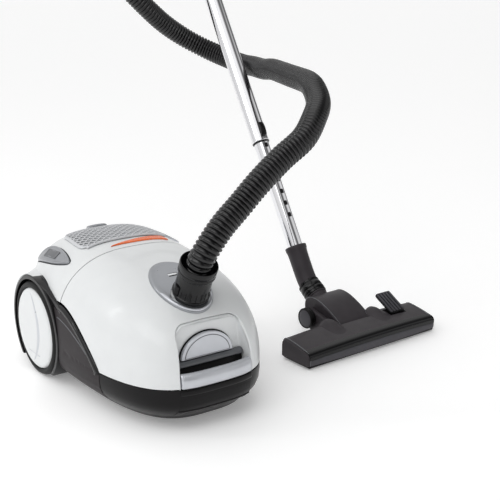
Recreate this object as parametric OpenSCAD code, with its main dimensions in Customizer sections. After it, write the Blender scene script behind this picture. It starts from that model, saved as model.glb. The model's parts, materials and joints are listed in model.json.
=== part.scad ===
// Canister vacuum cleaner: wheeled body, ribbed hose, telescopic wand and floor head.
// The body faces -Y, its rear axle runs along X, and the floor is z = 0.

/* [Canister body] */
// Half of the body's greatest width
body_half_w = 136; // [130:1:138]
// Height of the joint between the black tub and the white covers
rim_z = 72; // [70:1:74]
// Height of the covers above that joint
cover_h = 152; // [146:1:154]
// Thickness of the moulded covers
skin = 3; // [2.5:0.5:3]

/* [Wheels] */
// Radius of the rear tyres
wheel_r = 79; // [77:1:79]
// Distance from the middle of the body to the outer face of a wheel
wheel_face = 141; // [140:1:143]
// Radius of a rear axle stub
axle_r = 5; // [4:0.5:5]
// Radius of the front caster wheel
caster_r = 17; // [16:1:17]

/* [Hose] */
// Outside diameter of the ribbed hose
hose_d = 40; // [36:1:40]
// Forward lean of the hose inlet
inlet_lean = 26.5; // [24:0.5:28]

/* [Wand] */
// Outside radius of the outer chrome tube
outer_tube_r = 16; // [16:0.5:17]
// Outside radius of the inner chrome tube
inner_tube_r = 14.25; // [13.75:0.25:14.25]
// Lean of the wand away from upright
wand_lean = 30; // [28:1:32]
// Length of inner tube that shows below the outer tube
shown_inner = 200; // [180:5:220]

/* [Floor head] */
// Length of the floor head
head_w = 308; // [290:1:310]
// Depth of the floor head's main bar
head_d = 73; // [70:1:76]

/* [Hidden] */
$fn = 48;
round_fn = 72;
wall_gap = 0.3;

// Plan and side outlines of the body are superellipses about these middles.
plan_mid = -40;
plan_front = 300;
plan_rear = 155;
plan_front_power = 3.2;
plan_rear_power = 2.8;
top_mid = -20;
top_front = 323;
top_rear = 140;
top_front_power = 2.35;
top_rear_power = 2.6;
section_power = 2.9;

seam_y = -101;
seam_sweep = 19;
hood_front = -337;
cover_back = 112;
panel_front = -212;
panel_back = -82;
panel_top_z = 146;
ring_steps = 24;

well_r = 84;
arch_r = 87.7;
well_inner_x = 106.5;
axle_z = wheel_r;

inlet_base = [-2.5, -266, 184];

surround_mid = 27;
surround_half_l = 62;
surround_half_w = 43.5;

tool_yaw = 3;
wand_foot = [375, -21, 149];
outer_start = shown_inner;
outer_end = 790;
inner_top = 560;
tube_wall = 1.1;
bend_r = 90;
bend_turn = 50;
tip_r = 60;
tip_turn = 55;
grip_len = 100;
handle_start = 820;
handle_end_len = 50;

pivot_q = -101;
pivot_z = 36;
neck_rise = 35;
head_front_q = pivot_q - 124;

centre_x = 199.8;
centre_y = 156.6;

hose_wall = 1.6;

// Route of the hose from the inlet to the handle.
hose_route = [
    [-2.5, -288, 229], [-1.5, -296, 245], [10, -300, 265], [34, -299, 291], [65, -296, 315],
    [100, -295, 345], [145, -290, 375], [190, -285, 400], [230, -260, 425],
    [265, -225, 440], [292, -180, 455], [315, -135, 460], [335, -85, 460],
    [352, -35, 460], [370, 15, 460], [386, 65, 460], [402, 115, 455],
    [415, 165, 455], [422, 215, 455], [420, 265, 462], [398, 310, 478],
    [358, 335, 503], [315, 342, 532], [275, 342, 565], [240, 350, 600],
    [206, 370, 634], [182, 405, 664], [170, 450, 688], [170, 500, 704],
    [180, 550, 712], [200, 600, 718], [232, 645, 726], [268, 680, 740],
    [303, 700, 764], [327, 696, 800], [339, 669, 836], [341, 629, 876],
];

// ---------------------------------------------------------------- body surface

// Cosine or sine raised to a power with its sign kept
function signed_power(v, p) = sign(v) * pow(abs(v), p);

// One half-span of a superellipse: 1 in the middle, 0 at the end
function taper(share, power) = pow(max(1 - pow(min(share, 1), power), 0), 1 / power);

// Half width of the body at y, for a surface set in by inset
function half_width(y, inset) = (body_half_w - inset) * (y < plan_mid
    ? taper((plan_mid - y) / (plan_front - inset), plan_front_power)
    : taper((y - plan_mid) / (plan_rear - inset), plan_rear_power));

// Height of the body above the rim at y, for a surface set in by inset
function top_height(y, inset) = (cover_h - inset) * (y < top_mid
    ? taper((top_mid - y) / (top_front - inset), top_front_power)
    : taper((y - top_mid) / (top_rear - inset), top_rear_power));

// Point of the body surface at y and angle t around its section, from one rim to the other
function skin_point(y, t, inset) = [
    half_width(y, inset) * signed_power(cos(t), 2 / section_power),
    y,
    rim_z + top_height(y, inset) * pow(sin(t), 2 / section_power),
];

// Height of the surface over a point of the plan
function surface_z(x, y, inset = 0) = rim_z + top_height(y, inset)
    * pow(max(1 - pow(abs(x) / half_width(y, inset), section_power), 0), 1 / section_power);

// Height of the line where the black side panel meets the white covers
function panel_share(y) = min(max((panel_back - y) / (panel_back - panel_front), 0), 1);
function panel_line(y) = y < 0
    ? rim_z + (panel_top_z - rim_z) * pow(max(1 - pow(panel_share(y), 1.8), 0), 1 / 1.2)
    : panel_top_z + (rim_z - panel_top_z) * min(y / 95, 1);

// Angle around the section at which the surface reaches height z
function section_angle(y, z, inset) =
    asin(pow(min(max(z - rim_z, 0) / top_height(y, inset), 1), section_power / 2));

// A skin between two grids of points with the same rows and columns
module skin_between(outer, inner) {
    rows = len(outer);
    cols = len(outer[0]);
    size = rows * cols;
    function at(r, c) = r * cols + c;
    function quad(a, b, c, d) = [[a, b, c], [a, c, d]];
    points = concat([for (row = outer, p = row) p], [for (row = inner, p = row) p]);
    faces = concat(
        [for (r = [0:rows - 2], c = [0:cols - 2],
            f = quad(at(r, c), at(r, c + 1), at(r + 1, c + 1), at(r + 1, c))) f],
        [for (r = [0:rows - 2], c = [0:cols - 2],
            f = quad(size + at(r, c), size + at(r + 1, c), size + at(r + 1, c + 1), size + at(r, c + 1))) f],
        [for (c = [0:cols - 2],
            f = quad(at(0, c + 1), at(0, c), size + at(0, c), size + at(0, c + 1))) f],
        [for (c = [0:cols - 2],
            f = quad(at(rows - 1, c), at(rows - 1, c + 1), size + at(rows - 1, c + 1), size + at(rows - 1, c))) f],
        [for (r = [0:rows - 2],
            f = quad(at(r, 0), at(r + 1, 0), size + at(r + 1, 0), size + at(r, 0))) f],
        [for (r = [0:rows - 2],
            f = quad(at(r + 1, cols - 1), at(r, cols - 1), size + at(r, cols - 1), size + at(r + 1, cols - 1))) f]
    );
    polyhedron(points, faces);
}

// Row of the hood or rear cover: the seam end is swept back at the sides
function cover_row(y, sweep, inset, lift) = [
    for (i = [0:ring_steps])
        let (
            start = section_angle(y, panel_line(y + sweep) + lift, inset),
            t = start + (180 - 2 * start) * i / ring_steps
        )
        skin_point(y + sweep * pow(cos(t), 4), t, inset)
];

// Plan outline of the tub at a given inset
function plan_outline(inset, steps = 64) = [
    for (i = [0:steps - 1])
        let (
            a = 360 * i / steps,
            power = sin(a) < 0 ? plan_front_power : plan_rear_power,
            reach = (sin(a) < 0 ? plan_front : plan_rear) - inset
        )
        [(body_half_w - inset) * signed_power(cos(a), 2 / power),
         plan_mid + reach * signed_power(sin(a), 2 / power)]
];

module plan_slab(inset, z0, z1) {
    translate([0, 0, z0])
        linear_extrude(z1 - z0)
            polygon(plan_outline(inset));
}

// Cylinder along X between two x values
module x_cylinder(r, x0, x1, y = 0, z = 0, fn = $fn) {
    translate([x0, y, z])
        rotate([0, 90, 0])
            cylinder(r = r, h = x1 - x0, $fn = fn);
}

module x_ring(r_in, r_out, x0, x1, y = 0, z = 0) {
    difference() {
        x_cylinder(r_out, x0, x1, y, z, round_fn);
        x_cylinder(r_in, x0 - 1, x1 + 1, y, z, round_fn);
    }
}

module ring(r_in, r_out, h) {
    difference() {
        cylinder(r = r_out, h = h);
        translate([0, 0, -1])
            cylinder(r = r_in, h = h + 2);
    }
}

module both_sides() {
    children();
    mirror([1, 0, 0])
        children();
}

// ---------------------------------------------------------------- lower body

module base_pan() {
    floor_z = 14;
    step_z = 32;
    tuck = 20;
    wall = 4;
    color("#151517")
        difference() {
            union() {
                difference() {
                    union() {
                        plan_slab(tuck, floor_z, step_z);
                        plan_slab(0, step_z, rim_z - 1);
                    }
                    plan_slab(tuck + wall, floor_z + wall, step_z + wall + 1);
                    plan_slab(wall, step_z + wall, rim_z + 1);
                }
                translate([0, -250, floor_z])
                    cylinder(r = 31, h = 35);
            }
            translate([0, -250, floor_z - 1])
                cylinder(r = 28, h = 32);
            translate([0, -250, floor_z - 1])
                cylinder(r = 5.2, h = 60);
            both_sides()
                x_cylinder(arch_r + wall_gap, well_inner_x - 2.3, 150, 0, axle_z, round_fn);
            translate([-62.3, -350, 24])
                cube([124.6, 36, 60]);
            base_screw_places()
                cylinder(r = 2.2, h = 20, center = true);
        }
}

// Curved lip across the front, with a ribbed lower edge
module front_bumper() {
    color("#1d1d20")
        difference() {
            intersection() {
                union() {
                    plan_slab(0, 34, rim_z - 1);
                    plan_slab(9, 24.4, 34);
                }
                translate([-62, -350, 0])
                    cube([124, 35.6, 90]);
            }
            plan_slab(18, 0, 90);
            for (x = [-48:16:48])
                translate([x - 4, -350, 20])
                    cube([8, 60, 9]);
        }
}

module base_screw_places() {
    for (x = [-70, 70], y = [-200, 70])
        translate([x, y, 16])
            children();
}

module base_screws() {
    color("#8c8f93")
        base_screw_places()
            union() {
                translate([0, 0, 2.2])
                    cylinder(r = 4, h = 2.4);
                translate([0, 0, -1.8])
                    cylinder(r = 2, h = 4.2);
            }
}

// Wall between the bag chamber and the motor chamber, with the motor's air intake
module bulkhead() {
    color("#2b2d30")
        difference() {
            translate([-94, -98, 18.2])
                cube([188, 4, 168]);
            translate([0, -92, 90])
                rotate([90, 0, 0])
                    cylinder(r = 32, h = 10);
        }
}

// Black side panel: wheel well, its arch, and the wing that runs forward under the hood's edge
module side_panel() {
    wing_rows = [for (i = [0:10]) -60 - (panel_front * -1 - 61) * i / 10];
    color("#19191b")
        union() {
            difference() {
                skin_between(
                    [for (y = wing_rows) wing_row(y, 0)],
                    [for (y = wing_rows) wing_row(y, skin)]
                );
                x_cylinder(well_r, -160, 0, 0, axle_z, round_fn);
            }
            difference() {
                x_cylinder(arch_r, -136.4, -well_inner_x + 2, 0, axle_z, round_fn);
                x_cylinder(well_r, -160, -well_inner_x, 0, axle_z, round_fn);
                x_cylinder(axle_r + 0.1, -160, 0, 0, axle_z);
                translate([-170, -100, -20])
                    cube([100, 200, 36]);
            }
        }
}

function wing_row(y, inset) = [
    for (i = [0:6])
        let (
            top = section_angle(y, panel_line(y) - 2.4, 0),
            t = 180 - max(top, 0.05) * i / 6
        )
        skin_point(y, t, inset)
];

module side_panel_left() {
    side_panel();
}

module side_panel_right() {
    mirror([1, 0, 0])
        side_panel();
}

// ---------------------------------------------------------------- upper body

// White cover over the motor chamber
module rear_cover() {
    rows = 12;
    first = seam_y + 0.6;
    ys = [for (i = [0:rows]) first + (cover_back - first) * sin(90 * i / rows)];
    sweeps = [for (y = ys) seam_sweep * pow((cover_back - y) / (cover_back - first), 2)];
    outer = [for (i = [0:rows]) cover_row(ys[i], sweeps[i], 0, 0.6)];
    inner = [for (i = [0:rows]) cover_row(ys[i] - 2.5 * i / rows, sweeps[i], skin, 0.6)];
    color("#f1f2f2")
        difference() {
            union() {
                skin_between(
                    concat(outer, [closing_row(outer[rows], 0.4)]),
                    concat(inner, [closing_row(inner[rows], 0.2)])
                );
                translate([45, 92, 95])
                    rotate([-90, 0, 0])
                        cylinder(r = 13, h = 22);
            }
            translate([45, 80, 95])
                rotate([-90, 0, 0])
                    cylinder(r = 9.2, h = 60);
            both_sides()
                x_cylinder(arch_r + 0.5, well_inner_x - 3, 150, 0, axle_z, round_fn);
            translate([-60, -46, 150])
                cube([120, 72, 90]);
            pedal_stem_bores();
        }
}

// Flattens the last row of a cover onto its lower chord, which closes the end
function closing_row(row, push) = [
    for (p = row)
        [p[0] * 0.97, p[1] + push, row[0][2] + (p[2] - row[0][2]) * 0.03]
];

// White front cover over the dust bag, with the recess for the catch
module hood() {
    rows = 15;
    ys = [for (i = [0:rows]) seam_y + (hood_front - seam_y) * sin(90 * (1 - i / rows))];
    sweeps = [for (y = ys) seam_sweep * pow((y - hood_front) / (seam_y - hood_front), 2)];
    color("#f6f7f7")
        difference() {
            union() {
                difference() {
                    skin_between(
                        [for (i = [0:rows]) cover_row(ys[i], sweeps[i], 0, 0.6)],
                        [for (i = [0:rows]) cover_row(ys[i] + skin * (1 - i / rows), sweeps[i], skin, 0.6)]
                    );
                    translate([-57.5, -350, 60])
                        cube([115, 48, 97]);
                }
                translate([-59, -302, 75])
                    cube([118, 3, 84]);
                both_sides()
                    translate([57.5, -331, 75])
                        cube([3, 30, 40]);
            }
            at_inlet()
                translate([0, 0, -40])
                    cylinder(r = 21, h = 80);
        }
}

module hood_latch() {
    color("#c3c6ca")
        intersection() {
            translate([0, -302.4, 103])
                rotate([90, 0, 0])
                    cylinder(r = 40, h = 7, $fn = 64);
            translate([-60, -320, 103])
                cube([120, 30, 34]);
        }
}

module grip_bar() {
    color("#b9bcc0")
        difference() {
            intersection() {
                plan_slab(-1, rim_z - 0.8, 92);
                translate([-57, -345, 60])
                    cube([114, 26, 60]);
            }
            plan_slab(13, 60, 120);
        }
}

// Rear edge of the strip, which widens towards the right
function strip_back(x) = -86.5 + 22 * pow((x + 38) / 104, 0.7);

module accent_strip() {
    color("#f0701c")
        intersection() {
            skin_between(
                [for (y = [-92:4:-58]) patch_row(y, -45, 70, 1.6, 12)],
                [for (y = [-92:4:-58]) patch_row(y, -45, 70, 0.3, 12)]
            );
            translate([0, 0, 180])
                linear_extrude(60)
                    polygon(concat([for (x = [-38:8:66]) [x, -87]], [for (x = [66:-8:-38]) [x, strip_back(x)]]));
        }
}

// Row of a patch that stands off the body surface by lift, between two x values
function patch_row(y, x0, x1, lift, steps) = [
    for (i = [0:steps])
        let (x = x1 + (x0 - x1) * i / steps)
        [x, y, surface_z(x, y) + lift]
];

module exhaust_grille() {
    color("#a9adb2")
        difference() {
            skin_between(
                [for (y = [-63.9:9.29:38.4]) patch_row(y, -75, 82, 3.4, 14)],
                [for (y = [-63.9:9.29:38.4]) patch_row(y, -75, 82, 0.4, 14)]
            );
            for (x = [-60:20:60], y = [-42:18:30])
                translate([x, y, 200])
                    rotate([0, 0, 45])
                        cube([8, 8, 60], center = true);
        }
}

module grille_latch() {
    color("#8f9398")
        translate([-14, 40.2, 217.9])
            cube([34, 12, 5.6]);
}

// Grey oval plate that lies on the hood around the inlet
module inlet_surround() {
    rows = [for (y = [-312:8:-168]) y];
    color("#b4b7bb")
        difference() {
            intersection() {
                skin_between(
                    [for (y = rows) patch_row(y, -50, 50, 4, 10)],
                    [for (y = rows) patch_row(y, -50, 50, 0.4, 10)]
                );
                at_inlet()
                    translate([0, 0, -40])
                        linear_extrude(90)
                            polygon([
                                for (a = [0:8:352])
                                    [surround_half_w * cos(a), surround_mid + surround_half_l * sin(a)]
                            ]);
            }
            at_inlet()
                translate([0, 0, -20])
                    cylinder(r = 27.6, h = 60);
            at_inlet()
                translate([-8, 47, -10])
                    cube([16, 9, 40]);
        }
}

module bag_window() {
    color("#e8ecee")
        at_inlet()
            translate([-7.6, 47.4, 2.4])
                cube([15.2, 8.2, 4]);
}

module at_inlet() {
    translate(inlet_base)
        rotate([inlet_lean, 0, 0])
            children();
}

// ---------------------------------------------------------------- pedals

pedal_x = 98;
pedal_y = -8;
pedal_lean = 38;

module at_pedal() {
    translate([-pedal_x, pedal_y, surface_z(pedal_x, pedal_y)])
        rotate([0, -pedal_lean, 0])
            children();
}

module pedal_stem_bores() {
    both_sides()
        at_pedal()
            translate([0, 0, -30])
                cylinder(r = 4.4, h = 60);
}

module pedal() {
    color("#aaadb4")
        at_pedal()
            union() {
                hull()
                    for (y = [-46, 0, 40])
                        translate([0, y, 6 - abs(y) * 0.02])
                            cylinder(r = 13 - abs(y) * 0.12, h = 4.4, $fn = 24);
                translate([0, 0, -16])
                    cylinder(r = 3.6, h = 24);
            }
}

module power_pedal() {
    pedal();
}

module rewind_pedal() {
    mirror([1, 0, 0])
        pedal();
}

// ---------------------------------------------------------------- wheels

module rear_axles() {
    color("#9a9da1")
        both_sides()
            union() {
                x_cylinder(axle_r, well_inner_x - 10, wheel_face - 3, 0, axle_z);
                x_cylinder(axle_r + 4, well_inner_x - 10, well_inner_x - 2.2, 0, axle_z);
            }
}

module wheel() {
    color("#eceeee")
        translate([wheel_face, 0, axle_z])
            rotate([0, -90, 0])
                difference() {
                    rotate_extrude($fn = round_fn)
                        polygon([[0, 0], [40, 0.4], [62, 1.6], [67.5, 4], [67.5, 8], [60, 6],
                                 [16, 4.4], [12, 5], [12, 27], [0, 27]]);
                    translate([0, 0, 2.6])
                        cylinder(r = axle_r + 0.05, h = 40);
                }
}

module tyre() {
    color("#101012")
        translate([wheel_face, 0, axle_z])
            rotate([0, -90, 0])
                rotate_extrude($fn = round_fn)
                    polygon([[67.7, 3.6], [70, 1.5], [75, 3], [wheel_r - 0.8, 7], [wheel_r, 12],
                             [wheel_r, 22], [wheel_r - 2, 27], [62, 28], [62, 8.4], [67.7, 8.4]]);
}

module wheel_right() {
    wheel();
}

module tyre_right() {
    tyre();
}

module wheel_left() {
    mirror([1, 0, 0])
        wheel();
}

module tyre_left() {
    mirror([1, 0, 0])
        tyre();
}

module at_caster() {
    translate([0, -250, 0])
        children();
}

module caster_fork() {
    color("#3a3c3f")
        at_caster()
            difference() {
                union() {
                    translate([0, 0, 38.5])
                        cylinder(r = 25, h = 5);
                    translate([0, 0, 38.5])
                        cylinder(r = 5, h = 14);
                    both_sides()
                        hull() {
                            translate([9, 6, caster_r])
                                rotate([0, 90, 0])
                                    cylinder(r = 6, h = 3, $fn = 24);
                            translate([9, -4, 38])
                                cube([3, 16, 2]);
                        }
                }
                x_cylinder(2.1, -20, 20, 6, caster_r);
            }
}

module caster_wheel() {
    color("#2a2a2c")
        at_caster()
            x_ring(2.15, caster_r, -8.2, 8.2, 6, caster_r);
}

module caster_axle() {
    color("#9a9da1")
        at_caster()
            x_cylinder(2.05, -13, 13, 6, caster_r);
}

// ---------------------------------------------------------------- inside

motor_x = -44;
motor_z = 88;
reel_x = 58;
reel_y = 12;
reel_z = 92;
reel_r = 60;

module y_tube(r_in, r_out, y0, y1) {
    translate([motor_x, y0, motor_z])
        rotate([-90, 0, 0])
            ring(r_in, r_out, y1 - y0);
}

module motor_housing() {
    color("#7d8083")
        union() {
            y_tube(44, 47, -84, 40);
            y_tube(8.2, 47, 40, 43);
            y_tube(12, 47, -87, -84);
        }
}

module motor_rotor() {
    color("#b88746")
        translate([motor_x, -82, motor_z])
            rotate([-90, 0, 0])
                union() {
                    cylinder(r = 41, h = 20);
                    cylinder(r = 4, h = 122);
                    translate([0, 0, 40])
                        cylinder(r = 27, h = 62);
                }
}

module motor_mounts() {
    color("#232325")
        union() {
            y_tube(30, 46, -93.6, -87.2);
            y_tube(47.3, 53, 20, 32);
        }
}

module motor_filter() {
    color("#dfe3d8")
        translate([-46, -106.4, 44])
            cube([92, 8, 92]);
}

module dust_bag() {
    color("#e4dfd2")
        hull()
            for (x = [-52, 52], y = [-236, -152], z = [78, 112])
                translate([x, y, z])
                    sphere(r = 26, $fn = 16);
}

module bag_holder() {
    color("#55585c")
        at_inlet()
            difference() {
                translate([-38, -34, -40])
                    cube([76, 76, 3]);
                translate([0, 0, -50])
                    cylinder(r = 20, h = 40);
            }
}

module exhaust_filter() {
    color("#e9ebe6")
        translate([-56, -42, 196])
            cube([112, 64, 12]);
}

module cord_reel() {
    color("#4a4d52")
        difference() {
            union() {
                x_cylinder(reel_r, reel_x - 20, reel_x - 17.5, reel_y, reel_z, round_fn);
                x_cylinder(reel_r, reel_x + 17.5, reel_x + 20, reel_y, reel_z, round_fn);
                x_cylinder(26, reel_x - 19, reel_x + 19, reel_y, reel_z);
            }
            x_cylinder(6.1, 0, 100, reel_y, reel_z);
        }
}

module reel_spindle() {
    color("#8f9296")
        union() {
            x_cylinder(6, reel_x - 24, reel_x + 24, reel_y, reel_z);
            translate([reel_x + 20.6, reel_y - 9, 18.2])
                cube([3, 18, reel_z - 18]);
            translate([reel_x - 23.6, reel_y - 9, 18.2])
                cube([3, 18, reel_z - 18]);
        }
}

// Sleeve in the rear wall that the mains lead runs through
module cord_bushing() {
    color("#1b1b1d")
        translate([45, 92, 95])
            rotate([-90, 0, 0])
                rotate_extrude()
                    polygon([[5, 0], [9, 0], [9, 22.3], [12.5, 22.3], [12, 25], [5, 25]]);
}

module power_switch() {
    color("#26282b")
        at_pedal()
            translate([-7, -8, -32])
                cube([14, 16, 12]);
}

module circuit_board() {
    color("#2f6a44")
        translate([-70, -60, 158])
            cube([60, 70, 1.6]);
}

// ---------------------------------------------------------------- hose

module hose_connector() {
    color("#121214")
        at_inlet()
            difference() {
                union() {
                    translate([0, 0, -24])
                        cylinder(r = 19.6, h = 30);
                    translate([0, 0, 6.4])
                        cylinder(r1 = 27, r2 = 26, h = 37);
                    translate([0, 0, 5])
                        cylinder(r = 20, h = 3);
                }
                translate([0, 0, -30])
                    cylinder(r = 17, h = 90);
                translate([0, 0, 32])
                    cylinder(r = 22.4, h = 20);
                both_sides()
                    translate([20, -6, 10])
                        cube([12, 12, 16]);
            }
}

module swivel_collar() {
    color("#18181a")
        at_inlet()
            union() {
                translate([0, 0, 43.7])
                    difference() {
                        union() {
                            cylinder(r1 = 27.5, r2 = 29, h = 4);
                            translate([0, 0, 4])
                                cylinder(r = 29, h = 15.5);
                        }
                        translate([0, 0, -1])
                            cylinder(r = 21.5, h = 23);
                    }
                translate([0, 0, 33])
                    ring(20.4, 22.1, 10.7);
            }
}

module release_button() {
    color("#242427")
        translate([22.3, -5.4, 10.6])
            cube([6, 10.8, 14.8]);
}

module release_button_right() {
    at_inlet()
        release_button();
}

module release_button_left() {
    at_inlet()
        mirror([1, 0, 0])
            release_button();
}

// Unit vector along the route at one of its points
function unit(v) = v / norm(v);
function route_way(i) = unit(
    hose_route[min(i + 1, len(hose_route) - 1)] - hose_route[max(i - 1, 0)]);

// Side vectors carried along the route without twist
function flat_to(v, way) = unit(v - (v * way) * way);
route_sides = [
    for (i = 0, side = [1, 0, 0]; i < len(hose_route); i = i + 1,
        side = flat_to(side, route_way(min(i, len(hose_route) - 1))))
        flat_to(side, route_way(i))
];

// Ring of points about the route, at point i
function hose_ring(i, r, sides) = [
    for (k = [0:sides - 1])
        let (a = 360 * k / sides, side = route_sides[i], other = cross(route_way(i), side))
        hose_route[i] + r * (cos(a) * side + sin(a) * other)
];

// Hollow tube along the route: up the outside, and back down the inside
module hose() {
    sides = 12;
    count = len(hose_route);
    rings = concat(
        [for (i = [0:count - 1]) hose_ring(i, hose_d / 2, sides)],
        [for (i = [count - 1:-1:0]) hose_ring(i, hose_d / 2 - hose_wall, sides)]
    );
    points = [for (row = rings, p = row) p];
    faces = [
        for (i = [0:2 * count - 1], k = [0:sides - 1], half = [0, 1])
            let (
                a = i * sides + k,
                b = i * sides + (k + 1) % sides,
                c = (i + 1) % (2 * count) * sides + k,
                d = (i + 1) % (2 * count) * sides + (k + 1) % sides
            )
            half == 0 ? [a, c, d] : [a, d, b]
    ];
    color("#101012")
        polyhedron(points, faces);
}

// ---------------------------------------------------------------- wand

module at_wand() {
    translate(wand_foot)
        rotate([0, 0, tool_yaw])
            rotate([-wand_lean, 0, 0])
                children();
}

// Plane of the wand, with its own floor as z = 0 and q along Y
module in_tool_plane() {
    translate([wand_foot[0], wand_foot[1], 0])
        rotate([0, 0, tool_yaw])
            children();
}

module tube(r_out, wall, z0, z1) {
    translate([0, 0, z0])
        ring(r_out - wall, r_out, z1 - z0);
}

module outer_tube() {
    color("#c9ccd0")
        at_wand()
            difference() {
                tube(outer_tube_r, tube_wall, outer_start, outer_end);
                translate([-4, -20, outer_start + 12])
                    cube([8, 8, 18]);
            }
}

// Slider that frees the telescopic tube
module telescope_button() {
    color("#1a1a1c")
        at_wand()
            translate([-6, -outer_tube_r - 7, outer_start + 8])
                cube([12, 6.6, 26]);
}

module tube_bush() {
    color("#1a1a1c")
        at_wand()
            tube(outer_tube_r + 0.6, outer_tube_r + 0.6 - inner_tube_r - 0.15, outer_start - 3, outer_start - 0.2);
}

module inner_tube() {
    color("#c9ccd0")
        at_wand()
            difference() {
                tube(inner_tube_r, tube_wall, -60, inner_top);
                for (i = [0:12])
                    translate([-4, -inner_tube_r - 2, 44 + 23.5 * i])
                        cube([8, 5, 9]);
            }
}

module neck_sleeve() {
    color("#2b2b2e")
        difference() {
            union() {
                at_wand() {
                    translate([0, 0, -86])
                        cylinder(r = 18, h = 84);
                    translate([0, 0, -8])
                        cylinder(r = 19.5, h = 8);
                }
                at_neck()
                    translate([0, 0, 53.5])
                        cylinder(r1 = 20, r2 = 18, h = 22);
                at_wand()
                    translate([0, 0, -86])
                        sphere(r = 18);
            }
            at_wand()
                translate([0, 0, -61])
                    cylinder(r = inner_tube_r + 0.1, h = 80);
            at_wand()
                translate([0, 0, -88])
                    cylinder(r = 13, h = 40);
            at_neck()
                translate([0, 0, 40])
                    cylinder(r = 13, h = 34);
        }
}

// Frame at the floor head's pivot, with z along the neck
module at_neck() {
    in_tool_plane()
        translate([0, pivot_q, pivot_z])
            rotate([neck_rise - 90, 0, 0])
                children();
}

module at_pivot() {
    in_tool_plane()
        translate([0, pivot_q, pivot_z])
            children();
}

module swivel_ring() {
    color("#0e0e10")
        at_neck()
            translate([0, 0, 41.5])
                ring(14.5, 21.5, 11.7);
}

// Pivoting cover between the neck and the floor head
module pivot_housing() {
    color("#2e2e31")
        at_pivot()
            difference() {
                union() {
                    x_cylinder(24, -33, 33);
                    hull() {
                        translate([-33, -70, -2])
                            cube([66, 1, 6]);
                        translate([-33, -20, -12])
                            cube([66, 1, 37]);
                        x_cylinder(24, -33, 33, 0, 0, 32);
                    }
                    rotate([neck_rise - 90, 0, 0])
                        cylinder(r = 19, h = 41.3);
                }
                rotate([neck_rise - 90, 0, 0])
                    translate([0, 0, 6])
                        cylinder(r = 13, h = 60);
                x_cylinder(7.08, -40, 40);
            }
}

module pivot_caps() {
    color("#242427")
        at_pivot()
            both_sides()
                union() {
                    x_cylinder(19, 46.2, 58);
                    x_cylinder(7, 20, 47);
                }
}

// ---------------------------------------------------------------- floor head

// Frame of the head: x along it, y back from its front face, z up from the floor
module at_head() {
    in_tool_plane()
        translate([0, head_front_q, 0])
            children();
}

module head_profile(front, back, z0, top_front, top_back) {
    rotate([90, 0, 90])
        translate([0, 0, -head_w / 2])
            linear_extrude(head_w)
                polygon([[front, z0], [back, z0], [back, top_back - 5], [back - 4, top_back],
                         [front + 7, top_front], [front, top_front - 5]]);
}

module head_shell() {
    color("#2c2c2f")
        at_head()
            difference() {
                union() {
                    difference() {
                        head_profile(0, head_d, 5.2, 31, 42);
                        translate([-head_w / 2 + 3, 3, 0])
                            cube([head_w - 6, head_d - 6, 26]);
                    }
                    both_sides()
                        hull() {
                            translate([36, head_d - 11.5, 18])
                                cube([10, 6, 22]);
                            x_cylinder(16, 36, 46, 124, pivot_z, 32);
                            x_cylinder(6, 36, 46, 112, 12, 32);
                        }
                }
                translate([-34, 42, 8])
                    cube([68, 40, 60]);
                x_cylinder(7.08, -60, 60, 124, pivot_z);
                translate([71, 34, 20])
                    cube([46, 32, 30]);
                both_sides() {
                    x_cylinder(12.6, 38.2, 43.8, 112, 12);
                    x_cylinder(3.02, 35, 47, 112, 12);
                }
            }
}

module sole_plate() {
    color("#1c1c1e")
        at_head()
            difference() {
                translate([-head_w / 2 + 3.3, 3.3, 2.6])
                    cube([head_w - 6.6, head_d - 6.6, 4.4]);
                translate([-head_w / 2 + 20, 26, 0])
                    cube([head_w - 40, 14, 10]);
                for (y = [12, 56])
                    translate([-head_w / 2 + 12, y, 0])
                        cube([head_w - 24, 5, 10]);
            }
}

module brush_strips() {
    color("#3b3b3f")
        at_head()
            for (y = [12.5, 56.5])
                translate([-head_w / 2 + 12.5, y, 0])
                    cube([head_w - 25, 4, 12.5]);
}

module head_pedal() {
    color("#1a1a1c")
        at_head()
            union() {
                translate([94, 44, 40])
                    rotate([29, 0, 0])
                        translate([-18, -4, 0])
                            cube([36, 50, 5]);
                translate([82, 46, 30])
                    cube([24, 8, 18]);
            }
}

module head_rollers() {
    color("#3a3a3d")
        at_head()
            both_sides()
                x_ring(3.08, 12, 38.6, 43.4, 112, 12);
}

module roller_axles() {
    color("#9a9da1")
        at_head()
            both_sides()
                x_cylinder(3, 36.2, 45.8, 112, 12);
}

// ---------------------------------------------------------------- handle

// Point and heading along the handle's bent centre line
module after_first_bend() {
    at_wand()
        translate([0, bend_r, handle_start])
            rotate([-bend_turn, 0, 0])
                translate([0, -bend_r, 0])
                    children();
}

module after_second_bend() {
    after_first_bend()
        translate([0, tip_r, grip_len])
            rotate([-tip_turn, 0, 0])
                translate([0, -tip_r, 0])
                    children();
}

// Hollow pipe bend that starts along z and turns towards y
module elbow(r, wall, bend, turn) {
    translate([0, bend, 0])
        rotate([0, 0, -90])
            rotate([90, 0, 0])
                rotate_extrude(angle = turn)
                    translate([bend, 0])
                        difference() {
                            circle(r);
                            circle(r - wall);
                        }
}

// Bent pipe of the handle, with the socket that holds the outer tube
module handle() {
    pipe_r = 18;
    wall = 3;
    color("#1e1e20")
        union() {
            at_wand() {
                translate([0, 0, outer_end - 30])
                    ring(outer_tube_r + 0.1, 20, 30.2);
                translate([0, 0, outer_end + 0.2])
                    ring(pipe_r - wall, 20, handle_start - outer_end - 0.2);
                translate([0, 0, handle_start])
                    elbow(pipe_r, wall, bend_r, bend_turn);
            }
            after_first_bend() {
                ring(pipe_r - wall, pipe_r, grip_len);
                translate([0, 0, grip_len])
                    elbow(pipe_r, wall, tip_r, tip_turn);
            }
        }
}

module suction_slider() {
    color("#5a5d61")
        after_first_bend()
            translate([-8, -21.4, 20])
                cube([16, 3, 26]);
}

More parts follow.
